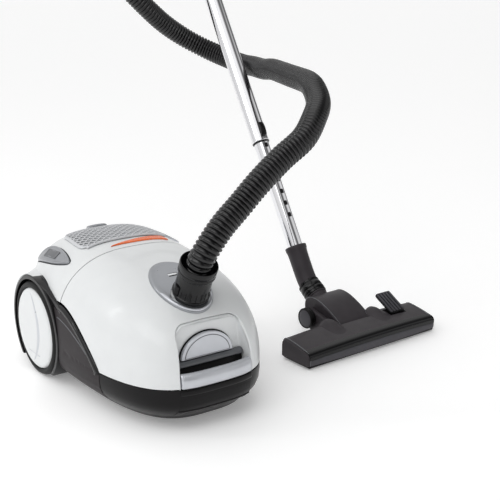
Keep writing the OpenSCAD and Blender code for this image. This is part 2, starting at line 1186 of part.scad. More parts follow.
module hose_cuff() {
    color("#151517")
        after_second_bend()
            difference() {
                translate([0, 0, 0.3])
                    cylinder(r1 = 22, r2 = 24, h = handle_end_len);
                translate([0, 0, -1])
                    cylinder(r = 14, h = handle_end_len);
                translate([0, 0, 12])
                    cylinder(r = 20.6, h = handle_end_len);
            }
}

// ---------------------------------------------------------------- assembly

// Moves the middle of the footprint to the origin
module place() {
    translate([-centre_x, -centre_y, 0])
        children();
}

place() base_pan();
place() front_bumper();
place() bulkhead();
place() side_panel_left();
place() side_panel_right();
place() rear_cover();
place() accent_strip();
place() grip_bar();
place() rear_axles();
place() wheel_left();
place() tyre_left();
place() wheel_right();
place() tyre_right();
place() caster_fork();
place() caster_wheel();
place() caster_axle();
place() hood();
place() hood_latch();
place() inlet_surround();
place() bag_window();
place() exhaust_grille();
place() grille_latch();
place() exhaust_filter();
place() power_pedal();
place() rewind_pedal();
place() motor_housing();
place() motor_rotor();
place() motor_mounts();
place() motor_filter();
place() dust_bag();
place() bag_holder();
place() cord_reel();
place() reel_spindle();
place() cord_bushing();
place() power_switch();
place() circuit_board();
place() hose_connector();
place() swivel_collar();
place() release_button_left();
place() release_button_right();
place() hose();
place() hose_cuff();
place() handle();
place() suction_slider();
place() outer_tube();
place() telescope_button();
place() inner_tube();
place() tube_bush();
place() neck_sleeve();
place() swivel_ring();
place() pivot_housing();
place() pivot_caps();
place() head_shell();
place() sole_plate();
place() brush_strips();
place() head_pedal();
place() head_rollers();
place() roller_axles();
place() base_screws();
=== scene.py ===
import json
import math

import bmesh
import bpy
import numpy as np
from mathutils import Matrix, Vector


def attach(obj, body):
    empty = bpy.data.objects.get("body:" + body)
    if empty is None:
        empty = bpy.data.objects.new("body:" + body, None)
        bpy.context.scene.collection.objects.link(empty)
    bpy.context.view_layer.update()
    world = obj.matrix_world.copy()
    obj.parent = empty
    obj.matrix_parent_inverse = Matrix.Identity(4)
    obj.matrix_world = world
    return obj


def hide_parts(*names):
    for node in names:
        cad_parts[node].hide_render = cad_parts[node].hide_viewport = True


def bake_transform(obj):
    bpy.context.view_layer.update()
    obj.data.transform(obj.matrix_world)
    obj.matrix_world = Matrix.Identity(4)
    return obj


# Canister vacuum cleaner. Lengths are millimetres unless a name says otherwise: x = 0 is the
# canister's middle, y = 0 its rear axle, z = 0 the floor, and the canister faces -Y.

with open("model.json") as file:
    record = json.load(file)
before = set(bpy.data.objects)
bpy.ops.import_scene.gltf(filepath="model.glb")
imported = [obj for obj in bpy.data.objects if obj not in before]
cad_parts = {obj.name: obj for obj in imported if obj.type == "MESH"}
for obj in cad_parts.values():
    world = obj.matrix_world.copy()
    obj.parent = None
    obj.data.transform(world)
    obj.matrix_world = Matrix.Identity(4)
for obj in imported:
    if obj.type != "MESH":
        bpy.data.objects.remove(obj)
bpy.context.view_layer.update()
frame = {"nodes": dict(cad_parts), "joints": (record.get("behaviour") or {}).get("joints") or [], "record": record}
scene = bpy.context.scene
MM = 0.001
JOINTS = {j["name"]: j for j in frame["joints"]}


# ---------------------------------------------------------------- frames

def basis(origin, z_axis, x_axis):
    """Matrix from local millimetres to the scene, from an origin in metres and two axes."""
    z = Vector(z_axis).normalized()
    x = Vector(x_axis)
    x = (x - x.dot(z) * z).normalized()
    turn = Matrix((x, z.cross(x), z)).transposed().to_4x4()
    return Matrix.Translation(Vector(origin)) @ turn @ Matrix.Scale(MM, 4)


def joint_point(name):
    return Vector(JOINTS[name]["pos_m"])


def joint_axis(name):
    return Vector(JOINTS[name]["axis"])


def shift(x=0.0, y=0.0, z=0.0):
    return Matrix.Translation((x, y, z))


def turn(degrees, axis):
    return Matrix.Rotation(math.radians(degrees), 4, axis)


WHEEL_MID_X = 128
AXLE_Z = 79
BODY = basis(joint_point("left_wheel_roll"), (0, 0, 1), (1, 0, 0)) @ shift(WHEEL_MID_X, 0, -AXLE_Z)
INLET = basis(joint_point("collar_swivel"), joint_axis("collar_swivel"), (1, 0, 0))
TOOL_X = joint_axis("head_tilt")
PIVOT = basis(joint_point("head_tilt"), (0, 0, 1), TOOL_X)
NECK = basis(joint_point("head_tilt"), joint_axis("neck_swivel"), TOOL_X)
PIVOT_Z = joint_point("head_tilt").z / MM
HEAD_FRONT_TO_PIVOT = 124
HEAD = PIVOT @ shift(0, -HEAD_FRONT_TO_PIVOT, -PIVOT_Z)
# Foot of the wand's axis, seen from the pivot
WAND_FOOT = (0, 101, 113)
WAND = basis(PIVOT @ Vector(WAND_FOOT), -joint_axis("telescope_slide"), TOOL_X)
BEND_R = 90
HANDLE_START = 820
HANDLE_BEND = 50
GRIP = WAND @ shift(0, BEND_R, HANDLE_START) @ turn(-HANDLE_BEND, "X") @ shift(0, -BEND_R, 0)
CUFF = basis(joint_point("cuff_swivel"), joint_axis("cuff_swivel"), TOOL_X)

# ---------------------------------------------------------------- camera

CAMERA_AT = (-724, -1460, 662)
CAMERA_TURN = 34.88
CAMERA_DOWN = 16.37
CAMERA_LENS = 72
CAMERA_SHIFT = (-0.0034, 0.0004)


def make_camera():
    """Camera at CAMERA_AT, turned to the right from the canister's long axis and tipped down."""
    data = bpy.data.cameras.new("camera")
    data.lens = CAMERA_LENS
    data.shift_x, data.shift_y = CAMERA_SHIFT
    data.clip_end = 100
    camera = bpy.data.objects.new("camera", data)
    scene.collection.objects.link(camera)
    a, e = math.radians(CAMERA_TURN), math.radians(CAMERA_DOWN)
    ahead = Vector((math.sin(a) * math.cos(e), math.cos(a) * math.cos(e), -math.sin(e)))
    camera.location = BODY @ Vector(CAMERA_AT)
    camera.rotation_euler = ahead.to_track_quat("-Z", "Y").to_euler()
    scene.camera = camera


make_camera()

# ---------------------------------------------------------------- materials

MATERIALS = {}
# Sockets of a Mix node that mixes colours
MIX_A, MIX_B, MIX_OUT = 6, 7, 2
CLOUD_SIZE = 24
GLOSS_SIZE = 9


def node(tree, kind, **values):
    made = tree.nodes.new("ShaderNode" + kind)
    for key, value in values.items():
        if key in made.inputs:
            made.inputs[key].default_value = value
        else:
            setattr(made, key, value)
    return made


def ramp_node(tree, stops):
    """Colour ramp through places and their colours; the first two stops are its ends."""
    made = node(tree, "ValToRGB")
    elements = made.color_ramp.elements
    for i, (place, colour) in enumerate(stops):
        element = elements[i] if i < 2 else elements.new(place)
        element.position = place
        element.color = (*colour, 1)
    return made


def material(name, colour, rough, metallic=0.0, coat=0.0, specular=0.5, tint=0.06, spread=0.06,
             grain=0.35, grain_depth=0.02, wave_size=40.0, wave_depth=0.0, stretch=(1, 1, 1),
             sheen=0.0, shade=None):
    """Adds a moulded or plated surface: mottled colour, uneven gloss, and a fine grain.

    grain and wave_size are the sizes of the marks in millimetres, and the depths are
    millimetres too. shade is a darker colour for painted shade, which the vertex attribute "shade" brings in."""
    made = bpy.data.materials.new(name)
    made.use_nodes = True
    tree = made.node_tree
    link = tree.links.new
    shader = tree.nodes["Principled BSDF"]
    shader.inputs["Metallic"].default_value = metallic
    shader.inputs["Coat Weight"].default_value = coat
    shader.inputs["Coat Roughness"].default_value = 0.05
    shader.inputs["Specular IOR Level"].default_value = specular
    shader.inputs["Sheen Weight"].default_value = sheen
    where = node(tree, "TexCoord")
    mapping = node(tree, "Mapping", Scale=stretch)
    link(where.outputs["Object"], mapping.inputs["Vector"])

    def noise(size, detail):
        made_noise = node(tree, "TexNoise", Scale=1.0 / (size * MM), Detail=detail)
        link(mapping.outputs["Vector"], made_noise.inputs["Vector"])
        return made_noise.outputs["Fac"]

    ramp = ramp_node(tree, [(0.3, [c * (1 - tint) for c in colour]),
                            (0.7, [min(c * (1 + tint), 1) for c in colour])])
    link(noise(CLOUD_SIZE, 3), ramp.inputs["Fac"])
    colour_out = ramp.outputs["Color"]
    if shade:
        mix = node(tree, "Mix", data_type="RGBA")
        painted_shade_mask = node(tree, "Attribute", attribute_name="shade")
        link(painted_shade_mask.outputs["Fac"], mix.inputs["Factor"])
        link(colour_out, mix.inputs[MIX_A])
        mix.inputs[MIX_B].default_value = (*shade, 1)
        colour_out = mix.outputs[MIX_OUT]
    link(colour_out, shader.inputs["Base Color"])

    gloss = node(tree, "MapRange")
    gloss.inputs["To Min"].default_value = max(rough - spread, 0.02)
    gloss.inputs["To Max"].default_value = min(rough + spread, 1)
    link(noise(GLOSS_SIZE, 4), gloss.inputs["Value"])
    link(gloss.outputs["Result"], shader.inputs["Roughness"])

    bump = node(tree, "Bump", Strength=1.0, Distance=grain_depth * MM)
    link(noise(grain, 2), bump.inputs["Height"])
    if wave_depth:
        wave = node(tree, "Bump", Strength=1.0, Distance=wave_depth * MM)
        link(noise(wave_size, 1), wave.inputs["Height"])
        link(wave.outputs["Normal"], bump.inputs["Normal"])
    link(bump.outputs["Normal"], shader.inputs["Normal"])
    MATERIALS[name] = made


material("white_gloss", (0.72, 0.735, 0.74), 0.3, coat=0.2, specular=0.4, tint=0.012, spread=0.05,
         grain=0.5, grain_depth=0.004, wave_depth=0.02)
material("white_recess", (0.57, 0.60, 0.605), 0.3, coat=0.1, tint=0.012, grain=0.5,
         grain_depth=0.006)
material("black_satin", (0.0055, 0.005, 0.0055), 0.3, specular=0.17, grain_depth=0.012)
material("panel_charcoal", (0.030, 0.026, 0.028), 0.5, specular=0.15, grain_depth=0.03)
material("silver_paint", (0.31, 0.32, 0.34), 0.3, metallic=0.7, coat=0.3, tint=0.03, grain=0.18,
         grain_depth=0.006)
material("silver_light", (0.56, 0.575, 0.61), 0.3, metallic=0.5, coat=0.3, tint=0.03, grain=0.2,
         grain_depth=0.006)
material("silver_dark", (0.14, 0.145, 0.155), 0.35, metallic=0.6, coat=0.2, tint=0.05, grain=0.2,
         grain_depth=0.008)
# Its shade colour is painted shade in the scoops of the exhaust grille.
material("grille_silver", (0.60, 0.61, 0.63), 0.36, metallic=0.1, specular=0.3, tint=0.03, grain=0.2,
         grain_depth=0.006, shade=(0.012, 0.013, 0.015))
material("grey_plastic", (0.16, 0.165, 0.17), 0.5, specular=0.3, grain_depth=0.03)
material("orange_gloss", (0.80, 0.125, 0.008), 0.28, coat=0.15, specular=0.3, tint=0.04,
         grain_depth=0.006)
material("clear_lens", (0.80, 0.82, 0.83), 0.1, coat=0.5, tint=0.02, grain_depth=0.003)
material("wheel_rubber", (0.006, 0.006, 0.006), 0.5, specular=0.2, grain=0.6, grain_depth=0.05)
material("chrome_tube", (0.80, 0.80, 0.82), 0.09, metallic=1.0, tint=0.02, spread=0.03, grain=0.4,
         grain_depth=0.002, stretch=(1, 1, 0.08))
material("steel_pin", (0.5, 0.51, 0.52), 0.3, metallic=1.0, grain=0.3, grain_depth=0.01,
         stretch=(0.1, 1, 1))
material("hose_plastic", (0.002, 0.002, 0.0025), 0.16, specular=0.5, tint=0.15, grain=0.6,
         grain_depth=0.02)
material("black_gloss", (0.004, 0.004, 0.0045), 0.16, specular=0.32, grain_depth=0.006,
         wave_depth=0.03, wave_size=14)
material("charcoal", (0.040, 0.035, 0.039), 0.42, specular=0.2, tint=0.1, grain=0.45,
         grain_depth=0.03)
material("charcoal_front", (0.062, 0.060, 0.068), 0.4, specular=0.25, tint=0.06, grain=0.45,
         grain_depth=0.02)
material("motor_metal", (0.5, 0.5, 0.5), 0.3, metallic=1.0, grain_depth=0.01)
material("copper_winding", (0.5, 0.22, 0.08), 0.35, metallic=0.9, grain=0.9, grain_depth=0.25,
         stretch=(1, 0.1, 1))
material("filter_fleece", (0.72, 0.74, 0.70), 0.9, grain=0.7, grain_depth=0.25, sheen=0.4)
material("bag_paper", (0.70, 0.64, 0.52), 0.85, tint=0.08, grain=0.9, grain_depth=0.15, sheen=0.3,
         wave_depth=1.2, wave_size=30)
material("board_green", (0.03, 0.2, 0.08), 0.35, coat=0.3, tint=0.2, grain=2.5, grain_depth=0.05)
material("brush_fibre", (0.03, 0.03, 0.033), 0.75, tint=0.3, grain=0.35, grain_depth=0.3,
         stretch=(1, 1, 0.05), sheen=0.2)


def dress_cad_nodes():
    """Gives every CAD node the material of its slot."""
    for part in frame["record"]["subparts"]:
        mesh = frame["nodes"][part["node"]].data
        mesh.materials.clear()
        mesh.materials.append(MATERIALS[part["material_slot"]])


dress_cad_nodes()

# ---------------------------------------------------------------- mesh tools


def mesh_object(name, points, faces, where=BODY):
    mesh = bpy.data.meshes.new(name)
    mesh.from_pydata([where @ Vector(p) for p in points], [], faces)
    mesh.update()
    made = bpy.data.objects.new(name, mesh)
    scene.collection.objects.link(made)
    return made


def grid_faces(rows, columns, wrap=False, wrap_rows=False):
    across = columns if wrap else columns - 1
    down = rows if wrap_rows else rows - 1
    return [
        (i * columns + j, i * columns + (j + 1) % columns,
         (i + 1) % rows * columns + (j + 1) % columns, (i + 1) % rows * columns + j)
        for i in range(down) for j in range(across)
    ]


def loft(name, rows, where=BODY, wrap=True, wrap_rows=False, caps=True):
    """Surface through rows of points. With wrap each row is closed, and caps close the ends."""
    columns = len(rows[0])
    points = [p for row in rows for p in row]
    faces = grid_faces(len(rows), columns, wrap, wrap_rows)
    if caps and wrap and not wrap_rows:
        last = (len(rows) - 1) * columns
        faces.append(tuple(reversed(range(columns))))
        faces.append(tuple(range(last, last + columns)))
    made = mesh_object(name, points, faces, where)
    face_outwards(made)
    return made


def face_outwards(made):
    mesh = bmesh.new()
    mesh.from_mesh(made.data)
    bmesh.ops.remove_doubles(mesh, verts=mesh.verts, dist=0.00001)
    bmesh.ops.recalc_face_normals(mesh, faces=mesh.faces)
    mesh.to_mesh(made.data)
    mesh.free()


def face_away_from(made, centre):
    """Turns an open surface so that its faces look away from a point in metres."""
    mesh = made.data
    total = sum((p.center - centre).dot(p.normal) * p.area for p in mesh.polygons)
    if total < 0:
        mesh.flip_normals()


def lathe(name, profile, where, sides=96, arc=(0, 360)):
    """Turns (radius, height) points about the local z axis. A full turn is closed on itself."""
    full = arc[1] - arc[0] >= 360
    steps = sides if full else sides + 1
    rows = []
    for i in range(steps):
        a = math.radians(arc[0] + (arc[1] - arc[0]) * i / sides)
        rows.append([(r * math.cos(a), r * math.sin(a), h) for r, h in profile])
    return loft(name, rows, where, wrap=True, wrap_rows=full, caps=not full)


def applied(made):
    """Applies the modifiers of an object to its mesh."""
    bpy.context.view_layer.update()
    graph = bpy.context.evaluated_depsgraph_get()
    mesh = bpy.data.meshes.new_from_object(made.evaluated_get(graph), depsgraph=graph)
    made.modifiers.clear()
    made.data = mesh
    return made


def bevel(made, width, segments=2, angle=40):
    modifier = made.modifiers.new("bevel", "BEVEL")
    modifier.width = width * MM
    modifier.segments = segments
    modifier.limit_method = "ANGLE"
    modifier.angle_limit = math.radians(angle)
    return applied(made)


def thicken(made, depth):
    """Gives an open surface a wall that lies behind it."""
    modifier = made.modifiers.new("wall", "SOLIDIFY")
    modifier.thickness = depth * MM
    modifier.offset = -1
    modifier.use_even_offset = True
    return applied(made)


def boolean(made, tool, operation="DIFFERENCE", crossing=False):
    """Cuts or joins with a closed tool; crossing is for walls that cut through themselves."""
    modifier = made.modifiers.new("cut", "BOOLEAN")
    modifier.object = tool
    modifier.operation = operation
    modifier.solver = "EXACT"
    modifier.use_self = crossing
    applied(made)
    bpy.data.objects.remove(tool)
    return made


def joined(first, *others):
    """Puts the meshes of several objects into the first one."""
    mesh = bmesh.new()
    mesh.from_mesh(first.data)
    for other in others:
        mesh.from_mesh(other.data)
        bpy.data.objects.remove(other)
    mesh.to_mesh(first.data)
    mesh.free()
    return first


def smooth(made, angle=35, weighted=False):
    mesh = made.data
    mesh.polygons.foreach_set("use_smooth", [True] * len(mesh.polygons))
    mesh.set_sharp_from_angle(angle=math.radians(angle))
    if weighted:
        modifier = made.modifiers.new("normals", "WEIGHTED_NORMAL")
        modifier.keep_sharp = True
        applied(made)
    return made


def own(made, body, slot, material_name=None, replaces=(), angle=35, weighted=False):
    """Finishes a piece: its shading, its material (the slot's unless material_name is given), the body it rides on
    and what it replaces.
    """
    smooth(made, angle, weighted)
    made.data.materials.clear()
    made.data.materials.append(MATERIALS[material_name or slot])
    if replaces:
        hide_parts(*replaces)
    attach(made, body)
    return made


def circle(count):
    """Angles of evenly spaced points round a circle."""
    return np.linspace(0, 2 * math.pi, count, endpoint=False)


def resample(points, count):
    """The same path with evenly spaced points."""
    points = np.asarray(points, float)
    steps = np.linalg.norm(np.diff(points, axis=0), axis=1)
    along = np.concatenate([[0], np.cumsum(steps)])
    wanted = np.linspace(0, along[-1], count)
    return np.stack([np.interp(wanted, along, points[:, k]) for k in range(3)], axis=1)


def rounded_rectangle(half_x, half_y, radius, steps=6, centre=(0, 0)):
    points = []
    for cx, cy, start in ((1, 1, 0), (-1, 1, 90), (-1, -1, 180), (1, -1, 270)):
        for i in range(steps + 1):
            a = math.radians(start + 90 * i / steps)
            points.append((centre[0] + cx * (half_x - radius) + radius * math.cos(a),
                           centre[1] + cy * (half_y - radius) + radius * math.sin(a)))
    return points


def slab(name, outline, z0, z1, where=BODY, edge=0.6, segments=2):
    """Plate with a given outline and softened edges."""
    rows = [[(x, y, z) for x, y in outline] for z in (z0, z1)]
    made = loft(name, rows, where)
    return bevel(made, edge, segments, 50) if edge else made


def box(name, low, high, where=BODY, edge=0.6, segments=2):
    outline = [(low[0], low[1]), (high[0], low[1]), (high[0], high[1]), (low[0], high[1])]
    return slab(name, outline, low[2], high[2], where, edge, segments)


# ---------------------------------------------------------------- hose

HOSE_R = 20
HOSE_ROOT_R = 17.4
RIB_PITCH = 7.0
RINGS_PER_RIB = 7
HOSE_SIDES = 32
ROUTE_POINTS = 2400
ROUTE_ROUNDING = 60
# Centre line from the connector to the cuff
HOSE_ROUTE = [
    (-2.5, -288, 229), (-1.5, -296, 245), (10, -300, 265), (34, -299, 291), (65, -296, 315),
    (100, -295, 345), (145, -290, 375), (190, -285, 400), (230, -260, 425),
    (265, -225, 440), (292, -180, 455), (315, -135, 460), (335, -85, 460),
    (352, -35, 460), (370, 15, 460), (386, 65, 460), (402, 115, 455),
    (415, 165, 455), (422, 215, 455), (420, 265, 462), (398, 310, 478),
    (358, 335, 503), (315, 342, 532), (275, 342, 565), (240, 350, 600),
    (206, 370, 634), (182, 405, 664), (170, 450, 688), (170, 500, 704),
    (180, 550, 712), (200, 600, 718), (232, 645, 726), (268, 680, 740),
    (303, 700, 764), (327, 696, 800), (339, 669, 836), (341, 629, 876),
]


def smooth_route(points, steps=40):
    """Catmull-Rom curve through the points, then rounded a little."""
    p = np.array([points[0]] + list(points) + [points[-1]], float)
    fine = []
    for i in range(1, len(p) - 2):
        for t in np.linspace(0, 1, steps, endpoint=False):
            a = 2 * p[i] + (p[i + 1] - p[i - 1]) * t
            b = (2 * p[i - 1] - 5 * p[i] + 4 * p[i + 1] - p[i + 2]) * t * t
            c = (3 * p[i] - p[i - 1] - 3 * p[i + 1] + p[i + 2]) * t ** 3
            fine.append((a + b + c) / 2)
    fine.append(p[-1])
    fine = resample(fine, ROUTE_POINTS)
    for _ in range(ROUTE_ROUNDING):
        fine[1:-1] = (fine[:-2] + 2 * fine[1:-1] + fine[2:]) / 4
    return fine


def rib_radius(share):
    """Radius at a share of one rib's pitch: a round crest and a narrow groove."""
    crest = math.cos(math.pi * (share - 0.5)) ** 0.8
    return HOSE_ROOT_R + (HOSE_R - HOSE_ROOT_R) * crest


def make_hose():
    """Ribbed hose from the collar to the cuff."""
    route = smooth_route(HOSE_ROUTE)
    length = float(np.linalg.norm(np.diff(route, axis=0), axis=1).sum())
    ribs = round(length / RIB_PITCH)
    centres = resample(route, ribs * RINGS_PER_RIB + 1)
    ways = np.gradient(centres, axis=0)
    ways /= np.linalg.norm(ways, axis=1)[:, None]
    side = np.array([1.0, 0, 0])
    rows = []
    for i, (centre, way) in enumerate(zip(centres, ways)):
        side = side - side.dot(way) * way
        side /= np.linalg.norm(side)
        other = np.cross(way, side)
        r = rib_radius(i % RINGS_PER_RIB / RINGS_PER_RIB)
        rows.append([
            centre + r * (math.cos(a) * side + math.sin(a) * other)
            for a in circle(HOSE_SIDES)
        ])
    hose = loft("ribbed_hose", rows)
    smooth(hose, 80)
    hose.data.materials.append(MATERIALS["hose_plastic"])
    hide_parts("hose")
    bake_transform(hose)


make_hose()

# ---------------------------------------------------------------- body surface

RIM_Z = 72
SECTION_POWER = 2.9
# Seen from above: where the body is widest, how far it reaches each way, and how full its ends are
HALF_WIDTH = 136
PLAN_MID = -40
PLAN_FRONT = 300
PLAN_REAR = 155
FRONT_POWER = 3.2
REAR_POWER = 2.8
# Seen from the side: where the top is highest, and how it falls to each end
TOP_RISE = 152
TOP_MID = -20
TOP_FRONT = 323
TOP_REAR = 140
SEAM_Y = -101
SEAM_SWEEP = 19
PANEL_FRONT = -212
ARCH_R = 88.2
WHEEL_ROOM_END = 160
SKIN = 3
SIDES = ((-1, "left"), (1, "right"))


def signed_power(value, power):
    return math.copysign(abs(value) ** power, value)


def taper(share, power):
    """One half-span of a superellipse: 1 in the middle, 0 at the end."""
    return max(1 - min(share, 1) ** power, 0) ** (1 / power)


def half_width(y, inset=0):
    """Half width of the body at y, drawn in by inset."""
    if y < PLAN_MID:
        return (HALF_WIDTH - inset) * taper((PLAN_MID - y) / (PLAN_FRONT - inset), FRONT_POWER)
    return (HALF_WIDTH - inset) * taper((y - PLAN_MID) / (PLAN_REAR - inset), REAR_POWER)


def top_height(y, inset=0):
    """Rise of the body's top over its rim at y."""
    if y < TOP_MID:
        return (TOP_RISE - inset) * taper((TOP_MID - y) / (TOP_FRONT - inset), 2.35)
    return (TOP_RISE - inset) * taper((y - TOP_MID) / (TOP_REAR - inset), 2.6)


def skin_point(y, t, inset=0):
    """Point of the body at y and angle t around its section, from one rim to the other."""
    power = 2 / SECTION_POWER
    return (half_width(y, inset) * signed_power(math.cos(t), power), y,
            RIM_Z + top_height(y, inset) * max(math.sin(t), 0) ** power)


def surface_z(x, y, inset=0):
    """Height of the body's top surface at x and y."""
    share = min(abs(x) / max(half_width(y, inset), 0.001), 1)
    return RIM_Z + top_height(y, inset) * taper(share, SECTION_POWER)


def side_x(y, z, inset=0):
    """Half width of the body at y and height z, down over the tub as well."""
    if z < RIM_Z:
        return tub_half_width(y, z)
    share = min((z - RIM_Z) / max(top_height(y, inset), 0.001), 1)
    return half_width(y, inset) * taper(share, SECTION_POWER)


def front_y(x, z, inset=0):
    """Front of the body at x and height z, found by halving."""
    outside, inside = -360.0, -150.0
    for _ in range(40):
        y = (outside + inside) / 2
        if abs(x) < half_width(y, inset) and surface_z(x, y, inset) > max(z, RIM_Z + 0.01):
            inside = y
        else:
            outside = y
    return inside


def panel_line(y):
    """Height of the line where the side panel meets the white covers."""
    if y >= 0:
        return 146 + (RIM_Z - 146) * min(y / 95, 1)
    share = min(max((-82 - y) / (-82 - PANEL_FRONT), 0), 1)
    return RIM_Z + 74 * max(1 - share ** 1.8, 0) ** (1 / 1.2)


def crease(t):
    """Height of the soft ridge along each shoulder of the hood."""
    off = abs(abs(math.degrees(t) - 90) - 50) / 8
    return 1.6 * math.exp(-off)


def cover_row(y, sweep, inset=0, ridge=0, count=97):
    """Row of a white cover from panel to panel; sweep draws its sides back."""
    share = min(max(panel_line(y + sweep) + 0.6 - RIM_Z, 0) / top_height(y, inset), 1)
    reach = math.pi / 2 - math.asin(share ** (SECTION_POWER / 2))
    points = []
    for i in range(321):
        t = math.pi / 2 + reach * signed_power(-1 + i / 160, 1.45)
        points.append(skin_point(y + sweep * math.cos(t) ** 4, t, inset - ridge * crease(t)))
    return resample(points, count)


def plan_outline(inset, steps=160):
    """Outline of the body from above, drawn in by inset."""
    points = []
    for i in range(steps):
        a = 2 * math.pi * i / steps
        reach, power = (PLAN_FRONT, FRONT_POWER) if math.sin(a) < 0 else (PLAN_REAR, REAR_POWER)
        points.append(((HALF_WIDTH - inset) * signed_power(math.cos(a), 2 / power),
                       PLAN_MID + (reach - inset) * signed_power(math.sin(a), 2 / power)))
    return points


# Heights of the tub's wall, and how far it is drawn in there
TUB_LEVELS = ((71.2, 1.2), (70.2, 0.2), (60, 0.0), (48, 1.2), (38, 5.0), (30, 11.5),
              (24, 18.5), (19, 24.0), (15.6, 26.5), (14, 28.5))


def tub_inset(z):
    levels = TUB_LEVELS[::-1]
    return float(np.interp(z, [level for level, _ in levels], [inset for _, inset in levels]))


def tub_half_width(y, z):
    return half_width(y, tub_inset(z))


def beside(side, x, degrees):
    """Frame on the rear axle at x on one side, turned about y so that its z points out or in."""
    return BODY @ shift(side * x, 0, AXLE_Z) @ turn(side * degrees, "Y")


def wheel_room(side, radius, near):
    """Cylinder about the rear axle, from near to past the outside of the body."""
    low, high = sorted((side * near, side * WHEEL_ROOM_END))
    profile = [(radius, 0), (0.001, 0), (0.001, high - low), (radius, high - low)]
    return lathe("wheel_room", profile, BODY @ shift(low, 0, AXLE_Z) @ turn(90, "Y"), 128)


# ---------------------------------------------------------------- hood

POCKET_BACK = -302
POCKET_OUTSIDE = -356
POCKET_X = 1.5
HOOD_TIP = -337
# Depth under the surface and growth of the pocket's mouth, from outside to inside
MOUTH = ((-9, 3.4), (-0.6, 3.0), (0.2, 1.9), (1.0, 1.0), (2.2, 0.35), (4.0, 0.0))
# Distance in front of the back wall and shrinking, for the fillet at the bottom of the pocket
FLOOR_FILLET = ((4.5, 0.0), (2.2, 0.7), (0.7, 2.2), (0.0, 4.6))


def pocket_outline(grow, steps=10):
    """Arch of the pocket in x and z, closed under the rim."""
    top, radius, low = 156.5 + grow, 19 + grow, 57
    foot, head = 59.5 + grow, 56 + grow
    side = [
        (foot + (head - foot) * s + 3 * math.sin(math.pi * s), low + (top - radius - low) * s)
        for s in np.linspace(0, 1, 16)
    ]
    corner = [
        (head - radius + radius * math.cos(a), top - radius + radius * math.sin(a))
        for a in np.linspace(0, math.pi / 2, steps + 1)[1:]
    ]
    flat = head - radius
    across = [(x, top + 1.2 * (1 - (x / flat) ** 2)) for x in np.linspace(flat, 0, 8)[1:]]
    right = side + corner + across
    left = [(-x, z) for x, z in right[-2::-1]]
    return [(x + POCKET_X, z) for x, z in right + left]


def pocket_solid(name, grow, mouth, back):
    """Closed solid of the pocket from its mouth at the body's front to its back wall."""
    rows = []
    if mouth[0][0] < 0:
        # The tool's outer end is a plane in front of the body
        rows.append([(x, POCKET_OUTSIDE, z) for x, z in pocket_outline(grow + mouth[0][1])])
    for depth, wider in mouth:
        rows.append([(x, front_y(x, z, depth), z) for x, z in pocket_outline(grow + wider)])
    for ahead, narrower in FLOOR_FILLET:
        rows.append([(x, back - ahead, z) for x, z in pocket_outline(grow - 0.6 - narrower)])
    return loft(name, rows)


def cut_round(made, radius, where, low, high, crossing=False):
    """Cuts a round hole along the local z axis."""
    tool = lathe("tool", [(radius, low), (0.001, low), (0.001, high), (radius, high)], where)
    return boolean(made, tool, crossing=crossing)


def make_hood():
    """White front hood, with the pocket for the grip bar sunk into it."""
    rows = []
    for a in np.linspace(math.radians(4.6), math.radians(80), 84):
        y = min(PLAN_MID - PLAN_FRONT * math.sin(a) ** (2 / FRONT_POWER), SEAM_Y)
        ahead = (y - HOOD_TIP) / (SEAM_Y - HOOD_TIP)
        fade = min(max(ahead, 0), 1) ** 0.5 * min((1 - ahead) * 9 + 0.15, 1)
        rows.append(cover_row(y, SEAM_SWEEP * max(ahead, 0) ** 2, 0, fade))
    hood = loft("hood_shell", rows, wrap=False)
    face_away_from(hood, BODY @ Vector((0, -180, 90)))
    thicken(hood, SKIN)
    bevel(hood, 0.8, 3)
    bucket = pocket_solid("bucket", 2.6, ((1.4, 0.0), (4.0, 0.0)), POCKET_BACK + 2.6)
    boolean(hood, bucket, "UNION", crossing=True)
    boolean(hood, pocket_solid("pocket", 0, MOUTH, POCKET_BACK), crossing=True)
    cut_round(hood, 24, INLET, -40, 40, crossing=True)
    own(hood, "hood", "white_gloss", replaces=("hood",), angle=38, weighted=True)


make_hood()

# ---------------------------------------------------------------- rear cover

COVER_REAR = 111
PEDAL_LEAN = 38


def at_pedal(side):
    """Frame of a leaf pedal: local y along it, z out of the body. side is -1 or 1."""
    return BODY @ shift(side * 98, -8, surface_z(98, -8)) @ turn(side * PEDAL_LEAN, "Y")


def leaf_outline(grow=0.0, steps=40):
    """Leaf shape of a pedal, pointed to the rear."""
    points = []
    for i in range(steps + 1):
        s = i / steps
        width = 14.5 * math.sin(math.pi * s ** 0.85) ** 0.66
        points.append((width + grow if 0 < i < steps else 0.0, 60 - 120 * s + grow * (1 - 2 * s)))
    return points + [(-x, y) for x, y in points[-2:0:-1]]


def on_pedal(side, across, along, out):
    """Point over the body's shoulder at a place on a pedal, raised along the way it is pressed."""
    x = 99 + 0.79 * across
    y = along - 3
    lean = math.radians(PEDAL_LEAN)
    return (side * (x + out * math.sin(lean)), y, surface_z(x, y) + out * math.cos(lean))


